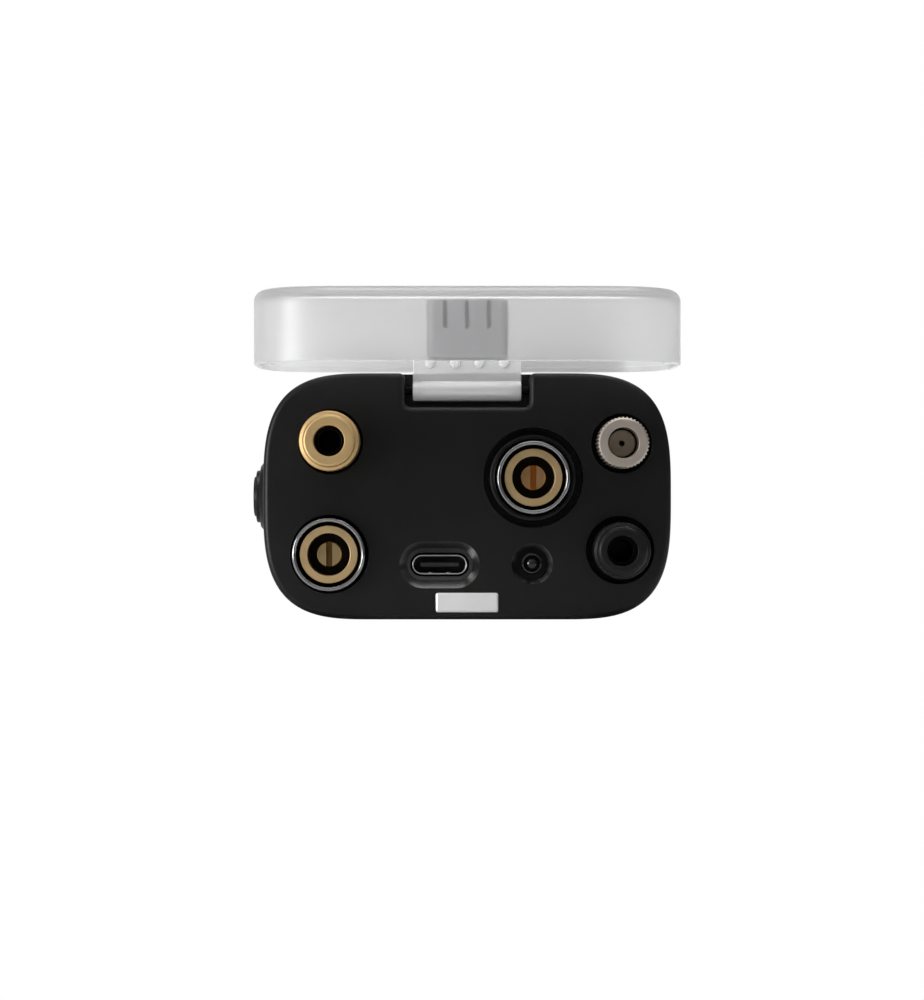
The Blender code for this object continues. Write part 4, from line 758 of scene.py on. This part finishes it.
levels = [(face_y - knurl_bottom, knurl_outline(knurl_radius))]
for step in range(bevel_steps + 1):
    height = knurl_top - knurl_bevel * (1 - step / bevel_steps)
    levels.append((face_y - height, knurl_outline(knurl_radius - knurl_bevel * step / bevel_steps)))
soft = 0.12 * MM
hollow = [(0.0, knurl_top + overrun), (ring_bore + soft, knurl_top + overrun)]
hollow += arc((ring_bore + soft, knurl_top - 0.9 * soft), soft, 90, 180, 4)
hollow += [(ring_bore, clearance), (head_bore, clearance), (head_bore, inner_lip), (neck_bore, inner_lip),
           (neck_bore, knurl_bottom - overrun), (0.0, knurl_bottom - overrun)]
knurl = carve(lofted(levels, (coupling_place.x, coupling_place.z - middle)), [turned(hollow, coupling_place)])
nickel = turned_metal("matt_nickel", (0.60, 0.53, 0.46), 0.42, coupling_place, shade=0.15, scale=6000.0,
                      bump=0.002)
fit_piece("coupling_ring_knurled", knurl, nickel, "coupling_ring", "coupling", sharp=30)

disc_radius, disc_top, disc_bottom = reach_of("coupling_dielectric")
stem_radius = 1.35 * MM
pin_socket = 0.42 * MM
socket_floor = -2.5 * MM
soft = 0.15 * MM
profile = [(0.0, socket_floor), (pin_socket, socket_floor), (pin_socket, disc_top - soft),
           (pin_socket + 0.12 * MM, disc_top), (disc_radius - soft, disc_top), (disc_radius, disc_top - soft),
           (disc_radius, clearance), (stem_radius, clearance), (stem_radius, disc_bottom), (0.0, disc_bottom)]
dielectric = plastic("disc_plastic", (0.42, 0.37, 0.30), 0.55, scale=3000.0, Specular_IOR_Level=0.25)
fit_piece("coupling_disc", turned(profile, coupling_place, steps=72), dielectric, "coupling_dielectric")


# ---------------------------------------------------------------- USB-C socket
# A drawn steel shell with round ends sits at the back of its pocket. A black tongue with gold contacts
# stands in it, and two spring fingers show inside its lower edge.

shell_wall = 0.3 * MM
shell_rim = shell_wall / 2
inner_width = usb_width - 2 * shell_wall
inner_height = usb_height - 2 * shell_wall


def rim_levels(width, height, side, last):
    """Depths and outlines round the shell's rolled front rim: side is -1 outside it and 1 inside."""
    levels = []
    for across, forward in arc((0.0, 0.0), shell_rim, 0, last, 5):
        spread = side * 2 * (shell_rim - across)
        levels.append((usb_low.y + shell_rim - forward, stadium(width + spread, height + spread)))
    return levels


usb_shell = lofted([(usb_high.y, stadium(usb_width, usb_height))] + rim_levels(usb_width, usb_height, -1, 90),
                   usb_centre)
mouth = stadium(inner_width + 2 * shell_rim, inner_height + 2 * shell_rim)
shell_hollow = lofted([(usb_high.y + overrun, stadium(inner_width, inner_height))] +
                      rim_levels(inner_width, inner_height, 1, 84) +
                      [(usb_low.y - overrun, mouth)], usb_centre)
usb_shell = carve(usb_shell, [shell_hollow])
finger_half = 0.26 * MM
finger_rise = 0.14 * MM
finger_offset = 1.46 * MM
shell_floor = usb_place.z - usb_height / 2 + shell_wall
fingers = []
for x in (usb_place.x - finger_offset, usb_place.x + finger_offset):
    fingers.append(box_shape((x - finger_half, usb_low.y + 0.12 * MM, shell_floor - 0.1 * MM),
                             (x + finger_half, usb_low.y + 3.0 * MM, shell_floor + finger_rise), 0.06 * MM))
usb_shell = carve(usb_shell, fingers, "UNION")


def brushed_lines():
    """Group: fine parallel brushing along X, with faint smudges."""
    group, given, end = new_group("brushed_lines", FINISH_INPUTS, FINISH_RESULTS)
    lines = noise(group, given["Vector"], given["Scale"], 3.0, (0.03, 1.0, 1.0))
    smudge = noise(group, given["Vector"], 300.0, 4.0)
    both = maths(group, "SUBTRACT", maths(group, "ADD", smudge, lines), 1.0)
    return close_group(group, given, end, smudge, both, lines)


brushing = brushed_lines()


def brushed_metal(name, colour, roughness, **finish):
    """A drawn, rolled or plated metal with fine lines along X."""
    return surface(name, brushing, colour, roughness, 1.0, **finish)


shell_steel = brushed_metal("usb_shell_steel", (0.50, 0.50, 0.51), 0.22, scale=6000.0, bump=0.002)
fit_piece("usb_c_shell_drawn", usb_shell, shell_steel, "usb_c_shell")

low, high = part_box("usb_c_tongue")
blade_half = 3.1 * MM
blade_thickness = 0.7 * MM
base_y = high.y - 1.4 * MM
trim = 0.9 * MM
tongue_outline = stadium(usb_width - trim, usb_height - trim)
tongue = lofted([(base_y, tongue_outline), (high.y, tongue_outline)], usb_centre)
blade = box_shape((usb_place.x - blade_half, low.y, usb_place.z - blade_thickness / 2),
                  (usb_place.x + blade_half, base_y + 0.5 * MM, usb_place.z + blade_thickness / 2), 0.12 * MM)
tongue = carve(tongue, [blade], "UNION")
tongue_plastic = plastic("tongue_plastic", (0.012, 0.012, 0.012), 0.45, Specular_IOR_Level=0.4)
fit_piece("usb_c_tongue_moulded", tongue, tongue_plastic, "usb_c_tongue")

contacts = bmesh.new()
contact_count = 12              # on each side of the tongue
contact_pitch = 0.48 * MM
contact_size = (0.22 * MM, 3.6 * MM, 0.05 * MM)
contact_y = low.y + 2.6 * MM
for number in range(contact_count):
    x = usb_place.x + (number - (contact_count - 1) / 2) * contact_pitch
    for side in (-1, 1):
        pad = bmesh.ops.create_cube(contacts, size=1.0)["verts"]
        bmesh.ops.scale(contacts, vec=contact_size, verts=pad)
        bmesh.ops.translate(contacts, vec=(x, contact_y, usb_place.z + side * blade_thickness / 2), verts=pad)
contact_gold = brushed_metal("contact_gold", GOLD, 0.25, scale=6000.0, bump=0.001)
contacts_piece = loose(contacts, "usb_c_contacts")
contacts_piece.data.materials.append(contact_gold)
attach(contacts_piece, "housing")


# ---------------------------------------------------------------- status light
# A smoked dome of polycarbonate sits in a glossy chamfered hole, and carries the light of an LED on
# the connector board.

lens_flange, lens_top, lens_bottom = reach_of("status_lens")
lens_radius = 1.35 * MM
step_radius = lens_radius + 0.5 * MM
flange_height = -face_wall - clearance
flange_back = flange_height - 0.6 * MM
pipe_radius = 0.9 * MM
profile = [(0.0, lens_top)] + arc((0.0, lens_top - lens_radius), lens_radius, 84, 0, 16)
profile += [(lens_radius, -2.2 * MM), (step_radius, -2.35 * MM), (step_radius, flange_height),
            (lens_flange, flange_height), (lens_flange, flange_back), (pipe_radius, flange_back),
            (pipe_radius, lens_bottom), (0.0, lens_bottom)]
smoked = plastic("smoked_lens_plastic", (0.003, 0.003, 0.0035), 0.07, spread=0.05, scale=900.0, bump=0.002,
                 Specular_IOR_Level=0.6)
fit_piece("status_lens_moulded", turned(profile, light_place, steps=72), smoked, "status_lens")


# ---------------------------------------------------------------- strike plate
# A small nickel-plated steel plate is pressed into the face. The magnet in the cap's latch holds to it.
# Its edge is chamfered all round, and the chamfer catches the light.

plate_chamfer = 0.26 * MM
plate_corner = 0.32 * MM
plate_front = strike_low.y
levels = [(y, rounded_rectangle(strike_width - 2 * inset, strike_height - 2 * inset, plate_corner - inset))
          for inset, y in ((plate_chamfer, plate_front), (0.0, plate_front + 0.6 * plate_chamfer),
                           (0.0, strike_high.y))]
plate_nickel = brushed_metal("strike_plate_nickel", (0.93, 0.93, 0.94), 0.52, shade=0.08, scale=7000.0,
                             bump=0.002)
fit_piece("strike_plate_pressed", lofted(levels, strike_centre), plate_nickel, "strike_plate")


# ---------------------------------------------------------------- side button
# A round key in two low tiers slides in a coned bezel on the left side. Both are moulded in black.
# The key's stem reaches the switch through the plunger.

bezel_proud = button_place.x - bezel_low.x
bezel_tail = button_place.x - bezel_high.x
button_low, button_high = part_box("side_button")
key_proud = button_place.x - button_low.x
key_tail = button_place.x - button_high.x
key_radius = 4.3 * MM
key_bore = 4.65 * MM
bezel_barrel = 5.15 * MM
bezel_flange = (bezel_high.z - bezel_low.z) / 2
soft = 0.12 * MM
profile = [(key_bore, bezel_tail)] + arc((key_bore + soft, bezel_proud - soft), soft, 180, 90, 4)
profile += arc((bezel_barrel - soft, bezel_proud - soft), soft, 90, 40, 3)
profile += arc((bezel_flange - soft, 0.45 * bezel_proud), soft, 40, 0, 3)
profile += [(bezel_flange, clearance), (bezel_barrel, clearance), (bezel_barrel, bezel_tail)]
fit_piece("button_bezel_moulded", turned(profile, button_place, OUT_OF_SIDE, 128, closed=True), collar_black,
          "button_bezel", sharp=28)

tier = 0.4 * MM
tier_radius = 3.3 * MM
soft = 0.22 * MM
flange_top = key_tail + 0.5 * MM
flange_radius = (button_high.z - button_low.z) / 2
profile = [(0.0, key_proud - 0.18 * MM), (1.2 * MM, key_proud - 0.14 * MM), (2.4 * MM, key_proud - 0.04 * MM)]
profile += arc((tier_radius - soft, key_proud - soft), soft, 90, 10, 5)
profile += [(tier_radius + 0.05 * MM, key_proud - tier)]
profile += arc((key_radius - soft, key_proud - tier - soft), soft, 90, 0, 5)
profile += [(key_radius, flange_top), (flange_radius, flange_top), (flange_radius, key_tail), (0.0, key_tail)]
fit_piece("side_button_key", turned(profile, button_place, OUT_OF_SIDE, 112), satin_black, "side_button",
          "button", sharp=28)


# ---------------------------------------------------------------- cap
# The clear cap that covers the connectors: a shallow tray of frosted polycarbonate with a thin lip.
# It is moulded in one shot, matt inside and out, and stands open at a right angle.

cap_depth = 11.2 * MM
cap_wall = 1.5 * MM
cap_edge = 1.5 * MM
cap_inner_edge = 0.8 * MM
cap_rim_gap = 0.4 * MM
cap_lip_height = 0.8 * MM
cap_lip_wall = 0.8 * MM
cap_soft = 0.15 * MM
OPEN_CAP = Matrix.Translation(hinge) @ Matrix.Rotation(math.radians(-90), 4, "X") @ Matrix.Translation(-hinge)
cap_rim = face_y - cap_rim_gap
cap_front = cap_rim - cap_depth
inner_front = cap_front + cap_wall


def opened(shape):
    """Swing a mesh that was made on the closed cap to where the cap stands open."""
    bmesh.ops.transform(shape, matrix=OPEN_CAP, verts=shape.verts)
    return shape


def tray_shape(levels):
    """A shape of the pack's section through depths and insets."""
    return lofted([(y, body_outline(inset)) for y, inset in levels])


# Rings close to each rounding keep the shading of the long flat walls even
tray = tray_shape(edge_levels(cap_front, 0.0, cap_edge, 12) + [
    (cap_front + 1.1 * cap_edge, 0.0), (cap_rim - 1.7 * cap_soft, 0.0), (cap_rim - cap_soft, 0.0),
    (cap_rim - 0.3 * cap_soft, 0.3 * cap_soft), (cap_rim, cap_soft)])
hollow = tray_shape(edge_levels(inner_front, cap_wall, cap_inner_edge, 8) + [
    (inner_front + 1.1 * cap_inner_edge, cap_wall), (cap_rim - 1.1 * cap_lip_height, cap_wall),
    (cap_rim + overrun, cap_wall)])
lip_step = tray_shape([(cap_rim - cap_lip_height, cap_lip_wall), (cap_rim + overrun, cap_lip_wall)])
tray = carve(tray, [hollow, lip_step])


def clear_plastic(name, colour, roughness, transmission, scale, bump, spread=0.1):
    """A clear or frosted plastic."""
    return plastic(name, colour, roughness, shade=0.06, spread=spread, scale=scale, bump=bump,
                   Transmission_Weight=transmission, IOR=1.47)


frosted = clear_plastic("frosted_cap_plastic", (0.95, 0.95, 0.955), 0.36, 0.94, 4000.0, 0.003)
cap_piece = fit_piece("cap_tray", opened(tray), frosted, "cap_shell", "cap", sharp=40)
cap_piece.visible_shadow = False     # clear plastic lets the light from above through to the face


# ---------------------------------------------------------------- latch
# A grey moulded block is bonded inside the cap's outer wall, with three grooves in the skin that meets the
# wall, and a magnet in its end holds to the strike plate when the cap is closed. Only that skin keeps the
# grey: the grooves' floors and the rounded edges behind it are painted dark grey, a painted shade.

latch_half = 6.0 * MM
latch_thickness = 2.9 * MM
latch_rounding = 0.90 * MM
latch_low_z = cap_wall + clearance
latch_front = inner_front + clearance
latch_rim = cap_rim - 0.25 * MM
latch = box_shape((-latch_half, latch_front, latch_low_z),
                  (latch_half, latch_rim, latch_low_z + latch_thickness), latch_rounding, 5)
groove_spacing = 3.26 * MM
groove_radius = 0.45 * MM
groove_length = 4.15 * MM
groove_z = latch_low_z - 0.05 * MM
grooves = []
for x in (-groove_spacing, 0.0, groove_spacing):
    capsule = [(0.0, groove_radius)] + arc((0.0, 0.0), groove_radius, 80, 0, 6)
    capsule += [(groove_radius, -groove_length - overrun), (0.0, -groove_length - overrun)]
    grooves.append(turned(capsule, Vector((x, latch_front + groove_length, groove_z)), OUT_OF_REAR, 24))
latch = opened(carve(latch, grooves))
magnet_low, magnet_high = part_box("latch_magnet")
slack = Vector((0.1 * MM, 0.1 * MM, 0.1 * MM))
latch = carve(latch, [box_shape(magnet_low - slack - Vector((0.0, 0.0, overrun)), magnet_high + slack)])
latch_skin = hinge.y + latch_low_z - hinge.z
# Painted shade: past 0.25 mm behind the skin the grey turns dark, on the grooves' floors and the rounded
# edges.
latch_plastic = plastic("latch_grey_plastic", (0.29, 0.29, 0.295), 0.45, centre=(0.0, latch_skin, 0.0),
                        tint=(0.25 * MM, (0.10, 0.10, 0.10)))
fit_piece("latch_block_moulded", latch, latch_plastic, "latch_block", "cap")


# ---------------------------------------------------------------- hinge
# A clear leaf with a barrel at its end is staked inside the cap's wall. A friction sleeve is pressed
# into the barrel and turns on a steel pin that both cheeks of the housing hold.

leaf_half = notch_half - 1.25 * MM
leaf_thickness = 1.4 * MM
leaf_middle = 2 * half_height - cap_wall - clearance - leaf_thickness / 2
leaf_reach = 4.6 * MM
barrel_radius = 1.65 * MM
leaf_top = leaf_middle + leaf_thickness / 2 - hinge.z
leaf_bottom = leaf_middle - leaf_thickness / 2 - hinge.z
leaf_tip = face_y - leaf_reach - hinge.y
top_angle = 180 - math.degrees(math.asin(leaf_top / barrel_radius))
bottom_angle = -180 - math.degrees(math.asin(leaf_bottom / barrel_radius))
tip_corner = 0.3 * MM
end_rounding = 0.22 * MM
same_place = 0.01 * MM
section = arc((0.0, 0.0), barrel_radius, top_angle, bottom_angle, 40)
section += arc((leaf_tip + tip_corner, leaf_bottom + tip_corner), tip_corner, 270, 180, 4)
section += arc((leaf_tip + tip_corner, leaf_top - tip_corner), tip_corner, 180, 90, 4)
leaf = bmesh.new()
verts = [leaf.verts.new((-leaf_half, hinge.y + y, hinge.z + z)) for y, z in section]
end = [leaf.edges.new(pair) for pair in zip(verts, verts[1:] + verts[:1])]
face = bmesh.ops.edgenet_fill(leaf, edges=end)["faces"]
run = bmesh.ops.extrude_face_region(leaf, geom=face)["geom"]
bmesh.ops.translate(leaf, vec=(2 * leaf_half, 0.0, 0.0),
                    verts=[part for part in run if isinstance(part, bmesh.types.BMVert)])
bmesh.ops.recalc_face_normals(leaf, faces=leaf.faces)
end_edges = [edge for edge in leaf.edges if abs(abs(edge.verts[0].co.x) - leaf_half) < same_place
             and abs(edge.verts[0].co.x - edge.verts[1].co.x) < same_place]
bmesh.ops.bevel(leaf, geom=end_edges, offset=end_rounding, segments=3, profile=0.5, affect="EDGES",
                material=-1)
sleeve_low, sleeve_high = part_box("friction_sleeve")
sleeve_radius = (sleeve_high.z - sleeve_low.z) / 2
sleeve_half = sleeve_high.x
play = 0.15 * MM
bore = [(0.0, leaf_half + overrun), (sleeve_radius + play, leaf_half + overrun),
        (sleeve_radius + play, -sleeve_half - play), (pin_hole, -sleeve_half - play),
        (pin_hole, -leaf_half - overrun), (0.0, -leaf_half - overrun)]
leaf = carve(leaf, [turned(bore, hinge, ALONG_WIDTH, 48)])
clear = clear_plastic("clear_leaf_plastic", (0.97, 0.97, 0.975), 0.12, 0.72, 900.0, 0.001, 0.06)
fit_piece("hinge_leaf_moulded", opened(leaf), clear, "hinge_leaf", "cap")

stake_plastic = clear_plastic("stake_plastic", (0.98, 0.98, 0.98), 0.30, 0.45, 2500.0, 0.004)
stake_head = 0.45 * MM
stake_shank = 0.4 * MM
for number in (1, 2, 3, 4):
    node = f"leaf_stake_{number}"
    low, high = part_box(node)
    head_radius = (high.x - low.x) / 2
    length = high.y - low.y
    profile = [(0.0, 0.0)] + [(head_radius * across, -stake_head + stake_head * up)
                              for across, up in arc((0.0, 0.0), 1.0, 80, 0, 8)]
    profile += [(stake_shank, -stake_head), (stake_shank, -length), (0.0, -length)]
    stake = turned(profile, Vector(((low.x + high.x) / 2, low.y, (low.z + high.z) / 2)), steps=32)
    fit_piece(node + "_melted", stake, stake_plastic, node, "cap")

soft = 0.12 * MM
half_turn = (0.0, 0.0, math.radians(90))        # turns the lathe marks to run round an axis along X
profile = [(0.0, pin_reach)] + arc((pin_radius - soft, pin_reach - soft), soft, 90, 0, 3)
profile += [(radius, -height) for radius, height in reversed(profile[1:])] + [(0.0, -pin_reach)]
# Painted shade: the pin is coloured near black so that the gaps beside the leaf read as shade.
pin_steel_painted_shade = turned_metal("pin_steel_painted_shade", (0.008, 0.008, 0.008), 0.45, hinge, turn=half_turn)
fit_piece("hinge_pin_ground", turned(profile, hinge, ALONG_WIDTH, 40), pin_steel_painted_shade, "hinge_pin")

profile = [(sleeve_radius, sleeve_half), (sleeve_radius, -sleeve_half), (pin_hole, -sleeve_half),
           (pin_hole, sleeve_half)]
sleeve_steel = turned_metal("sleeve_steel", (0.50, 0.50, 0.51), 0.20, hinge, turn=half_turn)
fit_piece("friction_sleeve_rolled", turned(profile, hinge, ALONG_WIDTH, 48, closed=True), sleeve_steel,
          "friction_sleeve", "cap")


# ---------------------------------------------------------------- inner pieces that keep their shape
# Ring nuts, boards, battery, tray, shield, antenna and switch are hidden in the closed pack.
# They stay as they are and get the finish of the real ones.


def board_pattern():
    """Group: solder mask with buried copper tracks as fine squared lines and small pads."""
    group, given, end = new_group("board_pattern", FINISH_INPUTS, FINISH_RESULTS)
    tracks = add(group, "TexBrick", {"offset": 0.37, "squash": 2.0}, Vector=given["Vector"],
                 Scale=given["Scale"], Color1=(0.55, 0.55, 0.55, 1.0), Color2=(0.75, 0.75, 0.75, 1.0),
                 Mortar=(1.0, 1.0, 1.0, 1.0), Mortar_Size=0.06).outputs
    mottle = noise(group, given["Vector"], 500.0, 2.0)
    uneven = maths(group, "SUBTRACT", mottle, 0.5)
    return close_group(group, given, end, tracks["Color"], uneven, tracks["Fac"])


def dress(node, material):
    """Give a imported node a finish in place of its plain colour."""
    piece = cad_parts[node]
    piece.data.materials.clear()
    piece.data.materials.append(material)


board_tracks = board_pattern()
flat = (0.0, 0.0, 0.0)
upright = (math.radians(90), 0.0, 0.0)
sideways = (0.0, math.radians(90), 0.0)
GREEN = (0.030, 0.16, 0.075)
for node, scale, turn in (("main_board", 450.0, flat), ("connector_board", 450.0, upright),
                          ("button_board", 700.0, sideways)):
    mask = surface(node + "_mask", board_tracks, GREEN, 0.35, shade=0.8, scale=scale, bump=0.03, turn=turn)
    dress(node, mask)
wrap_film = surface("battery_wrap_film", brushing, (0.05, 0.12, 0.30), 0.32, shade=0.3, scale=900.0,
                    bump=0.02)
magnet_plating = brushed_metal("magnet_plating", (0.60, 0.60, 0.62), 0.18, scale=3000.0, bump=0.001)
antenna_copper = brushed_metal("antenna_copper", (0.70, 0.34, 0.18), 0.30, scale=4000.0)
dress("battery_cell", wrap_film)
dress("battery_lead", plastic("lead_insulation", (0.45, 0.02, 0.02), 0.45, scale=2500.0))
dress("chassis_frame", plastic("tray_plastic", (0.015, 0.015, 0.015), 0.55))
dress("switch_plunger", plastic("plunger_plastic", (0.02, 0.02, 0.02), 0.40))
dress("rf_shield", brushed_metal("shield_tinplate", (0.60, 0.60, 0.60), 0.30, scale=3500.0))
dress("tact_switch", brushed_metal("switch_can", (0.55, 0.55, 0.56), 0.28))
dress("bezel_retainer", brushed_metal("retainer_spring_steel", (0.40, 0.40, 0.42), 0.30))
dress("latch_magnet", magnet_plating)
dress("internal_antenna", antenna_copper)
dress("status_led", plastic("led_lens", (0.85, 0.85, 0.80), 0.30, scale=2500.0))
for number in (1, 2, 3, 4):
    node = f"board_screw_{number}"
    low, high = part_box(node)
    steel = turned_metal(node + "_steel", (0.42, 0.43, 0.45), 0.30, (low + high) / 2, turn=upright)
    dress(node, steel)
for node in ("brass_jack_nut", "black_jack_nut", "left_coax_nut", "middle_coax_nut", "coupling_barrel"):
    low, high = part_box(node)
    blackened = turned_metal(node + "_blackened", (0.012, 0.012, 0.012), 0.45, (low + high) / 2)
    dress(node, blackened)


# ---------------------------------------------------------------- floor, light and camera
# A white sweep under two soft boxes, one of which also shows through the clear cap. A third stands at
# the left, and a small card low in front. The room is dim, and darker behind the right of the cap.
# Far in front the sweep's colour is painted dark, a painted falloff of the light; the camera sees it only in
# reflections.


def fade(tree, value, start, stop, first, last):
    """A value that goes from first to last while another goes from start to stop."""
    return add(tree, "MapRange", Value=value, From_Min=start, From_Max=stop, To_Min=first,
               To_Max=last).outputs["Result"]


def tone_ramp(tree, value, tones):
    """Grey tones at positions from 0 to 1, along a value that goes from -1 to 1."""
    ramp = add(tree, "ValToRGB", Fac=maths(tree, "MULTIPLY_ADD", value, 0.5, 0.5))
    stops = ramp.color_ramp.elements
    for number, (position, tone) in enumerate(tones):
        stop = stops[0] if number == 0 else stops.new(position)
        stop.position = position
        stop.color = (tone, tone, tone, 1.0)
    stops.remove(stops[-1])
    return ramp.outputs["Color"]


def either(tree, share, first, second):
    """The first shader, or the second one by a share."""
    mix = add(tree, "MixShader", Fac=share)
    tree.links.new(first, mix.inputs[1])
    tree.links.new(second, mix.inputs[2])
    return mix.outputs["Shader"]


floor = bmesh.new()
bmesh.ops.create_grid(floor, x_segments=1, y_segments=1, size=4.0)
bmesh.ops.translate(floor, vec=(0.0, 0.0, -0.02 * MM), verts=floor.verts)
floor_piece = loose(floor, "floor")
paper = bpy.data.materials.new("paper_with_painted_falloff")
paper.use_nodes = True
tree = paper.node_tree
spot = add(tree, "SeparateXYZ", Vector=add(tree, "TexCoord").outputs["Object"]).outputs
# Painted shade: the paper's colour darkens from 0.75 to 0.03 far in front of the pack, a painted falloff of
# the light.
shader = wire(tree, tree.nodes["Principled BSDF"], Roughness=0.9,
              Base_Color=fade(tree, spot["Y"], -0.22, -0.13, 0.03, 0.75))
path = add(tree, "LightPath").outputs
glow = add(tree, "Emission", Strength=maths(tree, "MULTIPLY_ADD", path["Is Camera Ray"], -0.05, 1.05))
seen = maths(tree, "MAXIMUM", path["Is Camera Ray"], path["Is Transmission Ray"])
wire(tree, tree.nodes["Material Output"],
     Surface=either(tree, seen, shader.outputs["BSDF"], glow.outputs["Emission"]))
floor_piece.data.materials.append(paper)

world = bpy.data.worlds.new("studio")
world.use_nodes = True
bpy.context.scene.world = world
tree = world.node_tree
along = add(tree, "SeparateXYZ", Vector=add(tree, "TexCoord").outputs["Generated"]).outputs
room_tones = [(0.0, 0.03), (0.010, 0.03), (0.035, 0.56), (0.30, 0.52), (0.50, 0.55), (0.75, 0.16),
              (1.0, 0.10)]
room = wire(tree, tree.nodes["Background"], Color=tone_ramp(tree, along["Y"], room_tones),
            Strength=fade(tree, along["X"], 0.05, 0.60, 1.0, 0.40))
across_tones = [(0.0, 1.0), (0.485, 1.0), (0.500, 0.06), (0.555, 0.10), (0.62, 0.9), (1.0, 1.0)]
through_cap = add(tree, "Background", Color=tone_ramp(tree, along["X"], across_tones),
                  Strength=fade(tree, along["Z"], 0.20, 0.70, 1.05, 0.25))
backdrop = add(tree, "Background", Color=(1.0, 1.0, 1.0, 1.0))
path = add(tree, "LightPath").outputs
behind_clear = either(tree, path["Is Transmission Ray"], room.outputs["Background"],
                      through_cap.outputs["Background"])
wire(tree, tree.nodes["World Output"],
     Surface=either(tree, path["Is Camera Ray"], behind_clear, backdrop.outputs["Background"]))


def soft_box(name, place, aim, width, height, power, through=False):
    """A rectangular soft light that looks at a point, and may show through clear plastic."""
    light = bpy.data.lights.new(name, "AREA")
    light.shape = "RECTANGLE"
    light.size = width
    light.size_y = height
    light.energy = power
    lamp = bpy.data.objects.new(name, light)
    bpy.context.scene.collection.objects.link(lamp)
    lamp.location = place
    lamp.rotation_euler = (Vector(aim) - Vector(place)).to_track_quat("-Z", "Y").to_euler()
    lamp.visible_camera = False
    lamp.visible_transmission = through


pack_front = (0.0, -0.04, 0.02)
soft_box("top_box", (0.06, -0.14, 0.55), pack_front, 0.5, 0.3, 1.3)
soft_box("top_fill", (0.0, -0.10, 0.60), pack_front, 0.5, 0.3, 1.1, through=True)
soft_box("left_box", (-0.42, -0.36, 0.09), pack_front, 0.20, 0.16, 0.75)
soft_box("low_card", (-0.11, -0.125, 0.004), (-0.02, -0.035, 0.03), 0.06, 0.03, 0.05)

camera = bpy.data.objects.new("camera", bpy.data.cameras.new("camera"))
bpy.context.scene.collection.objects.link(camera)
camera.location = (-0.00081, -0.496, 0.01921)
camera.rotation_euler = (math.radians(90), 0.0, 0.0)
camera.data.sensor_width = 36.0
camera.data.lens = 100.93
camera.data.clip_start = 0.01
camera.data.clip_end = 20.0
bpy.context.scene.camera = camera
bpy.context.scene.view_settings.view_transform = "Standard"
